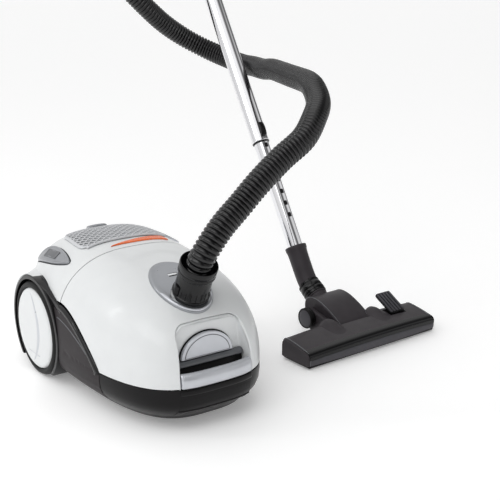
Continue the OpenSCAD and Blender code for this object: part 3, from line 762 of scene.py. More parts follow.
def make_rear_cover():
    """White rear cover, with openings for the wheels, pedals, filter and mains lead."""
    rows = []
    end = COVER_REAR + 1
    for a in np.linspace(0, math.radians(86), 70):
        y = SEAM_Y + 0.9 + (COVER_REAR - SEAM_Y) * math.sin(a)
        rows.append(cover_row(y, SEAM_SWEEP * ((end - y) / (end - SEAM_Y)) ** 2))
    low = rows[-1]
    for scale, back in ((0.985, 0.9), (0.5, 1.4), (0.02, 1.5)):
        rows.append([(x * scale, y + back, RIM_Z + (z - RIM_Z) * scale) for x, y, z in low])
    cover = loft("rear_cover_shell", rows, wrap=False)
    face_away_from(cover, BODY @ Vector((0, 0, 90)))
    thicken(cover, SKIN)
    bevel(cover, 0.8, 3)
    for side in (-1, 1):
        boolean(cover, wheel_room(side, ARCH_R + 1.2, 103.5))
        well = [[on_pedal(side, x, y, out) for x, y in leaf_outline(1.4)] for out in (-8, 30)]
        boolean(cover, loft("well", well), crossing=True)
    boolean(cover, box("filter_opening", (-60, -46, 150), (60, 26, 240), edge=0))
    outlet = BODY @ shift(45, 90, 95) @ turn(-90, "X")
    cut_round(cover, 9.6, outlet, -10, 40)
    own(cover, "root", "white_gloss", replaces=("rear_cover",), angle=38, weighted=True)
    ring = [(9.6, 8), (13.4, 8), (13.4, 22), (12.6, 23.4), (10.4, 23.4), (9.6, 22)]
    own(lathe("cord_boss", ring, outlet, 64), "root", "white_gloss")


make_rear_cover()

# ---------------------------------------------------------------- tub and side panels

CASTER = BODY @ shift(0, -250, 0)


def make_tub():
    """Black lower tub with its flat belly and the cup of the caster."""
    rows = [[(x, y, z) for x, y in plan_outline(inset)] for z, inset in TUB_LEVELS]
    rows.append([(x, y, 14) for x, y in plan_outline(60)])
    tub = loft("tub_shell", rows, caps=False)
    face_away_from(tub, BODY @ Vector((0, -100, 60)))
    thicken(tub, 3)
    bevel(tub, 0.6, 2)
    belly = slab("belly", plan_outline(58, 96), 14, 17)
    for side in (-1, 1):
        boolean(tub, wheel_room(side, ARCH_R, 104.2), crossing=True)
        boolean(belly, wheel_room(side, ARCH_R, 104.2))
    cut_round(belly, 28, CASTER, 0, 40)
    own(tub, "root", "black_satin", replaces=("base_pan",), weighted=True)
    own(belly, "root", "black_satin")
    cup = lathe("caster_cup", [(28, 14), (31, 14), (31, 49), (5.2, 49), (5.2, 46), (28, 44)], CASTER)
    own(bevel(cup, 0.8), "root", "black_satin")


make_tub()

RIM_WIDTH = 9.5
RIM_SECTION = ((0, -3), (0, 1.2), (0.12, 2.4), (0.35, 3.0), (0.65, 2.7), (0.9, 1.6), (1, 0.4), (1, -3))
# The wedge's upper edge leaves the round arch at the first y and z, and meets the seam at the second
WEDGE_START = (-28.2, 163.1)
WEDGE_END = (-84, 143.9)
FIELD_LOW = 27


def panel_top(y):
    """Height of the panel's upper edge, a little under the covers."""
    return panel_line(y) - 2.4


def smoothstep(t):
    t = min(max(t, 0), 1)
    return t * t * (3 - 2 * t)


def cladding_top(y):
    """Upper edge of the black wedge: round the wheel arch, then straight down to the hood's seam."""
    if y > WEDGE_START[0]:
        return AXLE_Z + math.sqrt((ARCH_R + 0.5) ** 2 - y * y)
    share = (WEDGE_START[0] - y) / (WEDGE_START[0] - WEDGE_END[0])
    return WEDGE_START[1] + (WEDGE_END[1] - WEDGE_START[1]) * share


def panel_point(y, z, out, side):
    return (side * (side_x(y, z) + out), y, z)


def panel_ys(count=60):
    """Stations along the panel, dense towards its pointed front."""
    return [-58 - 153.5 * math.sin(math.pi / 2 * i / (count - 1)) ** 1.15 for i in range(count)]


def make_panel_field(side, name):
    """Charcoal field below the hood."""
    rows = []
    for y in panel_ys():
        top = max(panel_top(y) - 4, FIELD_LOW + 2)
        rise = top - FIELD_LOW
        row = [panel_point(y, FIELD_LOW + rise * s, 0.6, side) for s in np.linspace(0, 1, 30)]
        rows.append(resample(row, 40))
    field = loft(f"{name}_field", rows, wrap=False)
    face_away_from(field, BODY @ Vector((0, -130, 60)))
    thicken(field, 2.6)
    boolean(field, wheel_room(side, ARCH_R - 2, 90))
    own(field, "root", "black_satin", "panel_charcoal", replaces=(name,), weighted=True)


def make_panel_rim(side, name):
    """Glossy rim that follows the edge of the hood and runs out into the tub."""
    path = [(y, panel_top(y)) for y in panel_ys(90) if -211.4 < y < -88]
    rows = []
    for i, (y, z) in enumerate(path):
        before = path[max(i - 1, 0)]
        after = path[min(i + 1, len(path) - 1)]
        way = Vector((after[0] - before[0], after[1] - before[1])).normalized()
        inward = Vector((way[1], -way[0]))
        if inward[1] > 0:
            inward = -inward
        width = RIM_WIDTH + 5 * (i / len(path)) ** 3
        row = []
        for across, out in RIM_SECTION:
            along = y + inward[0] * width * across
            up = max(z + inward[1] * width * across, 33)
            row.append(panel_point(along, up, out, side))
        rows.append(row)
    rim = loft(f"{name}_rim", rows)
    boolean(rim, wheel_room(side, ARCH_R - 1, 90))
    own(rim, "root", "black_gloss", angle=50)


def make_panel_wedge(side, name):
    """Wedge that carries the rim on from the seam to the top of the wheel arch."""
    rows = []
    for y in np.linspace(-6, -94, 50):
        top = cladding_top(y)
        low = max(78 + math.sqrt(max(87 ** 2 - y * y, 0)), top - 12)
        low = min(low, top - 2)
        skin = side_x(y, top)
        face = skin + 2.6 + (138.9 - skin - 2.6) * smoothstep((y + 92) / 74)
        skin_low = min(side_x(y, low), face) - 6
        rows.append([(side * x, y, z) for x, z in (
            (skin - 3, top - 0.8), (skin, top), (face - 1.6, top), (face - 0.5, top - 0.5),
            (face, top - 1.6), (face, low), (skin_low, low))])
    own(loft(f"{name}_wedge", rows), "root", "black_gloss", angle=40)


def make_panel_line(side, name):
    """Thin raised line inside the field, painted lighter than the field as a highlight."""
    rows = []
    for y in np.linspace(-84, -196, 50):
        z = panel_top(y) - 21 * (1 - ((-84 - y) / 150) ** 2)
        rows.append([panel_point(y, z + dz, out, side)
                     for dz, out in ((-0.9, 0), (-0.54, 1.1), (0, 1.7), (0.54, 1.1), (0.9, 0))])
    own(loft(f"{name}_line", rows), "root", "black_satin", "silver_dark", angle=60)


for SIDE, SIDE_NAME in SIDES:
    for make_part in (make_panel_field, make_panel_rim, make_panel_wedge, make_panel_line):
        make_part(SIDE, f"side_panel_{SIDE_NAME}")


def under_tub():
    """Block that cuts off whatever hangs below the tub."""
    return box("under_tub", (-170, -120, -30), (170, 120, 17), edge=0)


ARCH_FACE_X = 138.2


def make_arch(side, name):
    """Round fender between the tub and the wheel, and the flat wall behind the wheel."""
    profile = [(81.8, 0), (83.2, -0.6), (87.4, 0), (88.4, 1.8), (88.4, 31), (84.2, 31), (84.2, 6), (82, 4)]
    arch = lathe(f"arch_{name}", profile, beside(side, ARCH_FACE_X, -90), 144)
    boolean(arch, under_tub())
    own(bevel(arch, 0.5), "root", "black_gloss", angle=50, weighted=True)
    liner = lathe("well_liner", [(0.001, 0), (84.6, 0), (84.6, 2), (0.001, 2)], beside(side, 108.2, -90))
    boolean(liner, under_tub())
    own(liner, "root", "black_satin")


def make_flare(side, name):
    """White flange of the rear cover over the wheel arch, sinking away at the top of the wheel."""
    profile = [(88.9, 1.8), (90.3, 1.0), (91.6, 2.0), (92.4, 6), (93.4, 11), (95.5, 17), (98.4, 23),
               (100.5, 27), (97, 29), (88.7, 29)]
    rows = []
    for degrees in np.linspace(86, 188, 90):
        a = math.radians(degrees)
        fade = 1 - smoothstep((degrees - 142) / 44)
        row = []
        for radius, inward in profile:
            r = ARCH_R + (radius - ARCH_R) * fade
            x = ARCH_FACE_X - inward - 1.2 * (1 - fade)
            row.append((side * x, r * math.sin(a), AXLE_Z - r * math.cos(a)))
        rows.append(row)
    own(loft(f"flare_{name}", rows), "root", "white_gloss", angle=50, weighted=True)


for SIDE, SIDE_NAME in SIDES:
    make_arch(SIDE, SIDE_NAME)
    make_flare(SIDE, SIDE_NAME)


def make_bumper():
    """Lip across the front with ridge lines and a scalloped lower edge."""
    profile = [(71.0, 3.2), (70.6, -0.6), (66, -1.6), (62, -0.4), (60.6, 0.8), (58, 0.2), (46, 1.6),
               (38, 4.6), (36.6, 6.2), (34.6, 5.4), (29, 12), (25.6, 17), (23.4, 22), (26, 26), (40, 22),
               (69, 16)]
    rows = []
    for x in np.linspace(-61.6, 61.6, 89):
        front = front_y(x, RIM_Z)
        scallop = 1.6 * abs(math.sin(x / 9.0))
        rows.append([(x, front + inset, z + (scallop if z < 30 else 0)) for z, inset in profile])
    lip = bevel(loft("front_lip", rows), 0.5, 2, 50)
    own(lip, "root", "black_satin", replaces=("front_bumper",), angle=40)


make_bumper()

# ---------------------------------------------------------------- wheels


def dome(radius):
    """Height of the wheel disc's face at a radius."""
    return 1.6 - 2.4 * (radius / 67) ** 3


def make_swoosh(side, name, where):
    """Faint raised swoosh on a wheel disc, and a short level line below its hub."""
    rows = []
    for s in np.linspace(0, 1, 40):
        # The swoosh bows forwards on its way down the disc
        up = 60 - 116 * s
        forward = 26 * math.sin(math.pi * s) ** 0.8 - 3
        width = 5.5 * math.sin(math.pi * s) ** 0.7 + 0.05
        row = []
        for dy, out in ((-1, -0.3), (-0.5, 0.35), (0.6, 0.45), (1, -0.3)):
            y = -forward + dy * width
            row.append((side * -up, y, dome(math.hypot(up, y)) + 0.15 + out))
        rows.append(row)
    own(loft(f"swoosh_{name}", rows, where), f"wheel_{name}", "white_gloss", "silver_light", angle=60)
    low, high = sorted((side * 41.4, side * 42.6))
    line = box(f"disc_line_{name}", (low, -22, -1.0), (high, 20, 1.3), where, 0.3)
    own(line, f"wheel_{name}", "white_gloss", "silver_light")


def make_wheel(side, name):
    """Domed white disc inside a thin tyre."""
    body = f"wheel_{name}"
    where = beside(side, 141, 90)
    profile = ([(0.001, 1.6)] + [(r, dome(r)) for r in np.linspace(6, 62, 15)]
               + [(64.5, -1.6), (66.6, -3.4), (67.4, -5.6), (67.4, -8.5), (60, -8.5), (0.001, -6)])
    own(lathe(f"disc_{name}", profile, where, 128), body, "white_gloss", replaces=(body,), angle=50)
    make_swoosh(side, name, where)
    boss = lathe(f"disc_boss_{name}", [(12, -6), (5.3, -6), (5.3, -26), (12, -26)], where, 48)
    own(boss, body, "white_gloss")
    profile = [(67.6, -6), (68.4, -2.6), (71, -1.4), (75.4, -3), (78.2, -7), (79, -12), (79, -22), (77, -27),
               (63, -28), (62, -9.4), (67.6, -9.2)]
    tread = lathe(f"tread_{name}", profile, where, 144)
    own(tread, body, "wheel_rubber", replaces=(f"tyre_{name}",), angle=50)


for SIDE, SIDE_NAME in SIDES:
    make_wheel(SIDE, SIDE_NAME)


def make_caster():
    """Trailing wheel under the front, in a fork with two cheeks that turns on a round plate."""
    rubber = [(16.2, -8.2), (16.9, -7.0), (17, -3), (17, 3), (16.9, 7.0), (16.2, 8.2), (9, 8.4), (2.2, 7),
              (2.2, -7), (9, -8.4)]
    wheel = lathe("caster_tyre", rubber, CASTER @ shift(0, 6, 17) @ turn(90, "Y"), 64)
    own(wheel, "caster_wheel", "grey_plastic", replaces=("caster_wheel",), angle=40)
    profile = [(5, 38.6), (24, 38.6), (25, 39.6), (25, 42.6), (24, 43.5), (5, 43.5), (5, 52), (0.001, 52),
               (0.001, 38.6)]
    plate = lathe("caster_plate", profile, CASTER, 64)
    own(plate, "caster_fork", "grey_plastic", replaces=("caster_fork",), angle=40)
    round_end = [(6 + 6 * math.sin(a), 17 - 6 * math.cos(a)) for a in np.linspace(-1.9, 1.9, 17)]
    outline = [(-4.5, 39)] + round_end + [(12.5, 39)]
    for low, high in ((-12, -9.2), (9.2, 12)):
        rows = [[(x, y, z) for y, z in outline] for x in (low, high)]
        cheek = loft(f"fork_cheek_{low:.0f}", rows, CASTER)
        own(bevel(cheek, 0.7), "caster_fork", "grey_plastic", angle=40)


make_caster()

# ---------------------------------------------------------------- exhaust cover

SCOOP_PITCH = 13.6


def scoop(x, y):
    """Depth and painted shade of the diamond pattern: each scoop falls away towards one corner and is painted
    darker as it deepens.
    """
    a = (x + y * 1.15) / SCOOP_PITCH
    b = (x - y * 1.15) / SCOOP_PITCH
    fa, fb = a - math.floor(a), b - math.floor(b)
    edge = min(fa, 1 - fa, fb, 1 - fb)
    inside = min(max((edge - 0.09) / 0.10, 0), 1)
    slope = fa * 0.5 + (1 - fb) * 0.5
    return inside * (0.6 + 3.0 * slope), min(inside * (0.1 + 1.3 * slope), 1)


def make_grille():
    """Patterned exhaust cover that follows the body's top."""
    steps_x, steps_y = 231, 150
    half_x, y0, y1 = 79, -63.6, 38.3
    points, shades = [], []
    for v in np.linspace(0, 1, steps_y):
        for u in np.linspace(-1, 1, steps_x):
            # Rounded corners, and sides that draw in towards the rear
            pinch = max((1 - abs(2 * v - 1) ** 9) ** 0.25 if 0 < v < 1 else 0, 0.9)
            x = 4 + (half_x - 9 * v * v) * u * pinch
            y = y0 + (y1 - y0) * v
            border = min((1 - abs(u)) * half_x, (1 - v) * (y1 - y0), v * (y1 - y0))
            # shade is painted shade on the scoops' sloping faces, passed to the material as an attribute.
            depth, shade = scoop(x, y)
            keep = min(max((border - 4) / 2.5, 0), 1)
            roll = max(0, 1 - border / 1.8) ** 2 * 2.2
            points.append((x, y, surface_z(x, y) + 3.6 - roll - depth * keep))
            shades.append(shade * keep)
    made = mesh_object("exhaust_cover", points, grid_faces(steps_y, steps_x))
    attribute = made.data.attributes.new("shade", "FLOAT", "POINT")
    attribute.data.foreach_set("value", shades)
    face_away_from(made, BODY @ Vector((0, -10, 100)))
    thicken(made, 0.9)
    own(made, "filter_cover", "silver_paint", "grille_silver", replaces=("exhaust_grille",), angle=28)


make_grille()


def make_catch():
    """Raised thumb catch at the back of the exhaust cover."""
    rows = []
    for x in np.linspace(-14, 20, 21):
        s = (x + 14) / 34
        crown = 1.6 * math.sin(math.pi * s) ** 0.5 if 0 < s < 1 else 0
        rows.append([(x, 40.4, 215.4), (x, 52, 214.4), (x, 52.2, 218 + crown), (x, 50.6, 220.6 + crown),
                     (x, 47, 221.8 + crown), (x, 43.4, 222 + crown), (x, 40.4, 220.6 + crown * 0.5)])
    catch = bevel(loft("thumb_catch", rows), 0.8)
    own(catch, "filter_catch", "silver_paint", replaces=("grille_latch",), angle=40)
    # Dark strip on the back face: painted shade standing in for a groove.
    groove = box("catch_groove_shade", (-8, 52.0, 216), (14, 52.7, 218.5), edge=0.2)
    own(groove, "filter_catch", "silver_paint", "silver_dark")


make_catch()


def make_accent():
    """Orange strip behind the hood's seam, widening to the right."""
    front = -87
    rows = []
    for v in np.linspace(0, 1, 12):
        row = []
        for u in np.linspace(0, 1, 80):
            x = -38 + 104 * u
            width = 0.5 + 22 * u ** 0.7
            y = front + width * v + 0.01
            edge = min(v, 1 - v) * width
            row.append((x, y, surface_z(x, y) + 1.7 - 0.9 * max(0, 1 - edge / 1.2) ** 2))
        rows.append(row)
    accent = loft("accent", rows, wrap=False)
    face_away_from(accent, BODY @ Vector((0, -60, 60)))
    thicken(accent, 1.3)
    own(accent, "root", "orange_gloss", replaces=("accent_strip",), angle=50)


make_accent()

# ---------------------------------------------------------------- pedals


def make_pedal(side, name, body):
    """Leaf-shaped foot pedal with a raised rim round a shallow recess."""
    def leaf(piece, outline, levels, ahead=0):
        rows = [[on_pedal(side, x * s, ahead + y * s, out) for x, y in outline] for s, out in levels]
        return loft(f"{piece}_{name}", rows)

    levels = ((1.0, -2.8), (1.0, 2.0), (0.99, 3.0), (0.95, 3.7), (0.88, 3.6), (0.82, 2.7), (0.78, 2.4),
              (0.6, 2.4), (0.4, 2.4), (0.2, 2.4), (0.02, 2.4))
    own(leaf("pedal", leaf_outline(), levels), body, "silver_paint", replaces=(body,), angle=30)
    levels = ((1.0, 2.0), (1.0, 3.2), (0.88, 3.4), (0.8, 2.8), (0.6, 2.8), (0.4, 2.8), (0.2, 2.8),
              (0.02, 2.8))
    recess = leaf("pedal_recess", rounded_rectangle(7.2, 22, 2.5), levels, 4)
    own(recess, body, "silver_paint", "silver_dark", angle=30)
    # Black leaf at the bottom of the well under the pedal: painted shadow.
    own(leaf("pedal_shadow", leaf_outline(1.9), ((1, -9.8), (1, -9.0))), "root", "black_satin")
    profile = [(3.6, -16), (3.6, -6), (0.001, -6), (0.001, -16)]
    stem = lathe(f"pedal_stem_{name}", profile, at_pedal(side), 32)
    own(stem, body, "silver_paint", angle=50)


make_pedal(-1, "left", "power_pedal")
make_pedal(1, "right", "rewind_pedal")

# ---------------------------------------------------------------- hose inlet


def inlet_surface(x, y, out=0.0):
    """Point of the hood under inlet coordinates x and y, found along the inlet's axis."""
    low, high = -70.0, 60.0
    inverse = BODY.inverted() @ INLET
    for _ in range(36):
        s = (low + high) / 2
        at = inverse @ Vector((x, y, s))
        if at.z > surface_z(at.x, at.y):
            high = s
        else:
            low = s
    return (x, y, low + out)


def oval_point(a, scale):
    """Point of the surround's outline at angle a, in inlet coordinates."""
    return (43.5 * scale * math.cos(a), 27 + 62 * scale * math.sin(a))


def oval(scale):
    return [oval_point(a, scale) for a in circle(96)]


def make_surround():
    """Oval plate around the inlet, with a slot for the indicator window."""
    levels = ((1.0, 0.0), (1.0, 2.2), (0.985, 3.4), (0.955, 4.2), (0.92, 4.3), (0.86, 3.6), (0.8, 3.2))
    rows = [[inlet_surface(x, y, out) for x, y in oval(s)] for s, out in levels]
    hole = [(29 * math.cos(a), 29 * math.sin(a)) for a in circle(96)]
    # Towards the hole the plate dips into a shallow dish
    for s in (0.25, 0.5, 0.75, 1.0):
        mix = [(a[0] + (b[0] - a[0]) * s, a[1] + (b[1] - a[1]) * s) for a, b in zip(oval(0.8), hole)]
        rows.append([inlet_surface(x, y, 3.2 - 1.2 * s) for x, y in mix])
    rows.append([(x, y, inlet_surface(x, y)[2] - 2) for x, y in hole])
    plate = loft("oval_surround", rows, INLET, caps=False)
    face_away_from(plate, BODY @ Vector((0, -230, 80)))
    thicken(plate, 1.2)
    boolean(plate, box("slot", (-8.2, 47.6, -30), (8.2, 55.6, 40), INLET, 0))
    own(plate, "hood", "silver_paint", replaces=("inlet_surround",), weighted=True)


def make_crescent():
    """Raised crescent at the front of the surround, painted brighter than the plate as a highlight."""
    first, last = 190, 352
    rows = []
    for degrees in np.linspace(first, last, 60):
        fade = max(math.sin(math.pi * (degrees - first) / (last - first)), 0) ** 0.5
        outer_x, outer_y = oval_point(math.radians(degrees), 0.975)
        inward = 29.6 / math.hypot(outer_x, outer_y) - 1
        row = []
        for s, out in ((0, 2), (0, 4.2), (0.2, 5.2), (0.55, 5.4), (0.85, 4.6), (1, 3.4), (1, 2)):
            scale = 1 + inward * s * (0.15 + 0.85 * fade)
            x, y = outer_x * scale, outer_y * scale
            row.append(inlet_surface(x, y, 2.6 + (out - 2) * (0.6 + 0.4 * fade)))
        rows.append(row)
    own(loft("surround_crescent", rows, INLET), "hood", "silver_paint", "silver_light", angle=40)


make_surround()
make_crescent()


def make_window():
    """Clear window of the bag indicator, half covered by a dark bar."""
    level = inlet_surface(0, 51)[2]
    lens = box("indicator_lens", (-7.8, 47.9, level - 1), (7.8, 55.2, level + 1.4), INLET, 0.4)
    own(lens, "hood", "clear_lens", replaces=("bag_window",))
    bar = box("indicator_bar", (-7.4, 48.2, level + 1.5), (7.4, 51, level + 2.1), INLET, 0.2)
    own(bar, "hood", "black_satin")


make_window()


def make_connector():
    """Sleeve of the hose end with ribs at its base and two side buttons."""
    profile = [(19.6, -24), (19.6, 4), (27.6, 4), (28.6, 6.4), (28.5, 9), (27.2, 10), (26.8, 12), (26.3, 30),
               (26.0, 43.2), (24.2, 43.4), (23, 42), (23, 32), (17, 31), (17, -24)]
    sleeve = lathe("connector_sleeve", profile, INLET, 128)
    for side in (-1, 1):
        low, high = sorted((side * 20, side * 34))
        boolean(sleeve, box("button_well", (low, -6.2, 10), (high, 6.2, 26), INLET, 0))
    own(sleeve, "hood", "black_satin", "black_gloss", replaces=("hose_connector",), angle=40, weighted=True)
    for k in range(-4, 5):
        where = INLET @ turn(-90 + 17 * k, "Z") @ shift(26.2, 0, 0)
        rib = box(f"connector_rib_{k + 4}", (-1.5, -0.8, 9), (1.1, 0.8, 24 - abs(k) * 0.8), where, 0.5)
        own(rib, "hood", "black_satin")
    for name, degrees in (("right", 0), ("left", 180)):
        rows = []
        for z in np.linspace(10.8, 25.2, 13):
            groove = 0.5 * (round((z - 10.8) / 1.2) % 2)
            rows.append([(22.4, -5.3, z), (27.2, -5.3, z), (28.4 - groove, -3, z), (28.8 - groove, 0, z),
                         (28.4 - groove, 3, z), (27.2, 5.3, z), (22.4, 5.3, z)])
        button = loft(f"connector_button_{name}", rows, INLET @ turn(degrees, "Z"))
        node_name = f"release_button_{name}"
        own(button, node_name, "black_satin", replaces=(node_name,), angle=30)


make_connector()


def make_collar():
    """Rotating collar on top of the connector, which the hose leaves from."""
    profile = [(20.6, 33.2), (22, 33.2), (22, 43.9), (27.2, 44), (27.8, 45), (28.6, 46.6), (28.6, 50.4),
               (28.1, 51.2), (28.6, 52), (28.8, 61.8), (28.2, 63.2), (27.2, 63.2), (26.2, 61.6), (25.2, 50),
               (22.4, 47), (21.6, 46), (20.6, 44)]
    collar = lathe("hose_collar", profile, INLET, 128)
    own(collar, "hose_swivel", "black_gloss", replaces=("swivel_collar",), angle=40)


make_collar()

# ---------------------------------------------------------------- latch and grip bar

LATCH_Z = 103
LATCH_WIDER, LATCH_LOWER = 1.12, 0.93


def latch_slab(name, radius, base, y0, y1, edge, material_name):
    """Half-moon plate between two depths, round side up and a little wider than high."""
    outline = [(radius * math.cos(a) * LATCH_WIDER, max(radius * math.sin(a), base) * LATCH_LOWER)
               for a in np.linspace(0, math.pi, 64)]
    rows = [[(x, y, LATCH_Z + z) for x, z in outline] for y in (y0, y1)]
    made = loft(name, rows)
    return own(bevel(made, edge, 3), "latch", "silver_paint", material_name, angle=40, weighted=True)


def make_latch():
    """Half-moon catch: a rim and a face with a band of painted shade between them for a groove, over a black sheet
    of painted shadow.
    """
    latch_slab("latch_shadow", 41.2, 0, -302.5, -303.6, 0.3, "black_satin")
    rim = latch_slab("latch_rim", 39.4, 0.6, -303.6, -309.4, 1.6, "silver_light")
    latch_slab("latch_face", 33.6, 3.4, -307, -309.9, 0.6, "silver_light")
    # The groove is a dark band of painted shade, not a cut.
    latch_slab("latch_groove_shade", 35.0, 2.4, -307, -309.55, 0.2, "silver_dark")
    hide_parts("hood_latch")


def make_pocket_floor():
    """Sill under the half-moon catch, and the dark floor of the pocket behind the grip bar."""
    rows = []
    for x in np.linspace(-57.6, 60.6, 53):
        bow = 1.4 * (1 - ((x - POCKET_X) / 60) ** 2)
        rows.append([(x, -303 - bow, 94.2), (x, -303 - bow, 102.4), (x, -308 - bow, 102.2),
                     (x, -311.5 - bow, 99.4), (x, -313 - bow, 95.8), (x, -312 - bow, 94.2)])
    own(bevel(loft("latch_sill", rows), 0.6), "root", "silver_paint", "silver_dark", angle=40)
    rows = []
    for x in np.linspace(-58.4, 61.4, 57):
        front = front_y(x, RIM_Z, 14)
        rows.append([(x, -302.6, 72.4), (x, -302.6, 94), (x, -306, 94), (x, min(front + 9, -308), 76),
                     (x, min(front + 4, -308.5), 72.4)])
    own(loft("pocket_liner", rows), "root", "black_satin")


make_latch()
make_pocket_floor()

# Section of the grip bar: distance behind the body's front, and height
BAR_SECTION = ((0.4, 72.0), (-0.4, 73.4), (-1.1, 77), (-1.2, 81), (-0.6, 85), (0.8, 88.6), (2.6, 91),
               (4.4, 92.2), (6.4, 92.9), (8.6, 92.8), (10.8, 92), (12.4, 90), (13, 87), (13, 77),
               (12.4, 73.4), (11.2, 72.0))


def knurl(x, level):
    """Small raised points along the top edge of the grip bar."""
    return 0.45 * max(math.sin(x * math.pi / 1.9 + level * math.pi), 0)


def make_grip():
    """Silver carrying bar across the mouth of the pocket."""
    rows = []
    section = resample([(d, z, 0) for d, z in BAR_SECTION + BAR_SECTION[:1]], 61)[:-1]
    for x in np.linspace(-58.6, 61.6, 253):
        front = front_y(x, RIM_Z)
        end = max(abs(x - POCKET_X) - 58.4, 0)
        row = []
        for d, z, _ in section:
            on_top = 1.0 if z > 89.2 and d < 9 else 0.0
            out = knurl(x, round(d / 1.6)) * on_top - end * 0.5
            away = Vector((d - 6, z - 82)).normalized()
            row.append((x, front + d + away[0] * out, z + away[1] * out))
        rows.append(row)
    bar = loft("carry_bar", rows)
    own(bar, "root", "silver_paint", "silver_light", replaces=("grip_bar",))


make_grip()

# ---------------------------------------------------------------- wand

NOTCHES = 13
NOTCH_START = 44
NOTCH_PITCH = 23.5
TUBE_R = 16
INNER_R = 14.25


def make_inner_tube():
    """Chrome inner tube with a row of notches, and a black sleeve inside it as painted shade that shows through
    them.
    """
    profile = [(INNER_R, -60), (INNER_R, 560), (INNER_R - 1.1, 560), (INNER_R - 1.1, -60)]
    tube = lathe("inner_tube_shell", profile, WAND)
    for i in range(NOTCHES):
        low = NOTCH_START + NOTCH_PITCH * i
        outline = rounded_rectangle(4, 4.5, 2.2, 4, (0, low + 4.5))
        rows = [[(x, y, z) for x, z in outline] for y in (-18, -11)]
        boolean(tube, loft("notch", rows, WAND))
    own(tube, "lower_wand", "chrome_tube", replaces=("inner_tube",), angle=40)
    # Black sleeve inside the tube: painted shade seen through the notches.
    core = lathe("inner_tube_shade", [(13.0, -58), (13.0, 558), (12.4, 558), (12.4, -58)], WAND, 48)
    own(core, "lower_wand", "black_satin")


def make_outer_tube():
    """Chrome outer tube with a slot for its button, and the bush at its foot."""
    profile = [(TUBE_R - 1.1, 200), (TUBE_R, 200), (TUBE_R + 0.5, 200.6), (TUBE_R + 0.5, 202.4),
               (TUBE_R, 203.4), (TUBE_R, 790), (TUBE_R - 1.1, 790)]
    tube = lathe("outer_tube_shell", profile, WAND)
    rows = [[(x, y, z) for x, z in rounded_rectangle(3.8, 9, 3, 5, (0, 221))] for y in (-20, -12)]
    boolean(tube, loft("button_slot", rows, WAND))
    own(tube, "root", "chrome_tube", replaces=("outer_tube",), angle=40)
    bush = [(14.4, 197), (16.2, 197), (16.7, 197.8), (16.7, 199.3), (16.2, 199.8), (14.4, 199.8)]
    own(lathe("tube_collar", bush, WAND, 64), "root", "black_satin", replaces=("tube_bush",))


def make_slide_button():
    """Ridged thumb button at the foot of the outer tube."""
    rows = []
    for z in np.linspace(208, 234, 27):
        s = (z - 208) / 26
        crown = 5.4 * math.sin(math.pi * min(max(s, 0.04), 0.96)) ** 0.45
        ridge = 0.5 * (round(z) % 2) if 0.2 < s < 0.8 else 0
        back = -TUBE_R - 0.5
        rows.append([(-5.6, back, z), (-6, back - crown * 0.6, z), (-4.4, back - crown + ridge * 0.4, z),
                     (0, back - crown - 0.5 + ridge, z), (4.4, back - crown + ridge * 0.4, z),
                     (6, back - crown * 0.6, z), (5.6, back, z)])
    button = loft("slide_knob", rows, WAND)
    own(button, "telescope_button", "black_satin", replaces=("telescope_button",), angle=40)


def sweep(name, stations, where, sides=64):
    """Round pipe through stations of (centre, heading, radius) that lie in a y-z plane."""
    rows = []
    for centre, heading, radius in stations:
        away = Vector((0, -heading[2], heading[1])).normalized()
        rows.append([
            Vector(centre) + float(radius) * (math.cos(a) * Vector((1, 0, 0)) + math.sin(a) * away)
            for a in circle(sides)
        ])
    return loft(name, rows, where)


def make_neck_sleeve():
    """Elbow from the head's swivel to the inner tube, with a glossy band at its foot."""
    to_wand = WAND.inverted() @ NECK
    foot = to_wand @ Vector((0, 0, 60))
    corner = Vector((0, 0, -86))
    head = Vector((0, 0, -50))
    stations = []
    for s in [i / 39 for i in range(40)]:
        centre = (1 - s) ** 2 * foot + 2 * s * (1 - s) * corner + s * s * head
        heading = (2 * (1 - s) * (corner - foot) + 2 * s * (head - corner)).normalized()
        stations.append((centre, heading, 20 - 1.6 * min(s / 0.35, 1) ** 0.8))
    up = Vector((0, 0, 1))
    for z, radius in ((-44, 18.4), (-34, 18.5), (-25, 18.8), (-20, 19.4), (-18.4, 20.2), (-14, 20.4),
                      (-11.8, 20.2), (-11, 19.6), (-11, 15)):
        stations.append((Vector((0, 0, z)), up, radius))
    sleeve = sweep("elbow_sleeve", stations, WAND, 96)
    own(sleeve, "lower_wand", "charcoal", replaces=("neck_sleeve",), angle=40)
    profile = [(14, 53.2), (20.9, 53.6), (21.3, 55), (21.1, 61), (20.4, 62), (20.2, 64), (20.9, 65),
               (20.8, 68.4), (19.6, 69.4), (14, 69.4)]
    own(lathe("sleeve_band", profile, NECK), "lower_wand", "black_gloss", angle=40)


def make_swivel_ring():
    """Glossy ring between the neck and the sleeve."""
    profile = [(14.5, 41.6), (20.4, 41.6), (21.4, 42.4), (21.4, 44.6), (20.3, 45.4), (20.3, 46.6),
               (21.5, 47.2), (21.7, 49.2), (21.5, 51.6), (20.6, 52.9), (14.5, 52.9)]
    ring = lathe("glossy_ring", profile, NECK)
    own(ring, "neck", "black_gloss", replaces=("swivel_ring",), angle=30)


make_inner_tube()
make_outer_tube()
make_slide_button()
make_neck_sleeve()
make_swivel_ring()

# ---------------------------------------------------------------- floor head

# Side view of the pivoting cover about the pivot, in y and z
COVER_PROFILE = [(27, 8), (28, 20), (22, 30), (8, 34), (-14, 31), (-38, 21), (-58, 10), (-69, 3), (-70.5, -1),
                 (-58, -4), (-40, -10), (0, -22), (20, -14)]
COVER_CENTRE = (-12, 6)


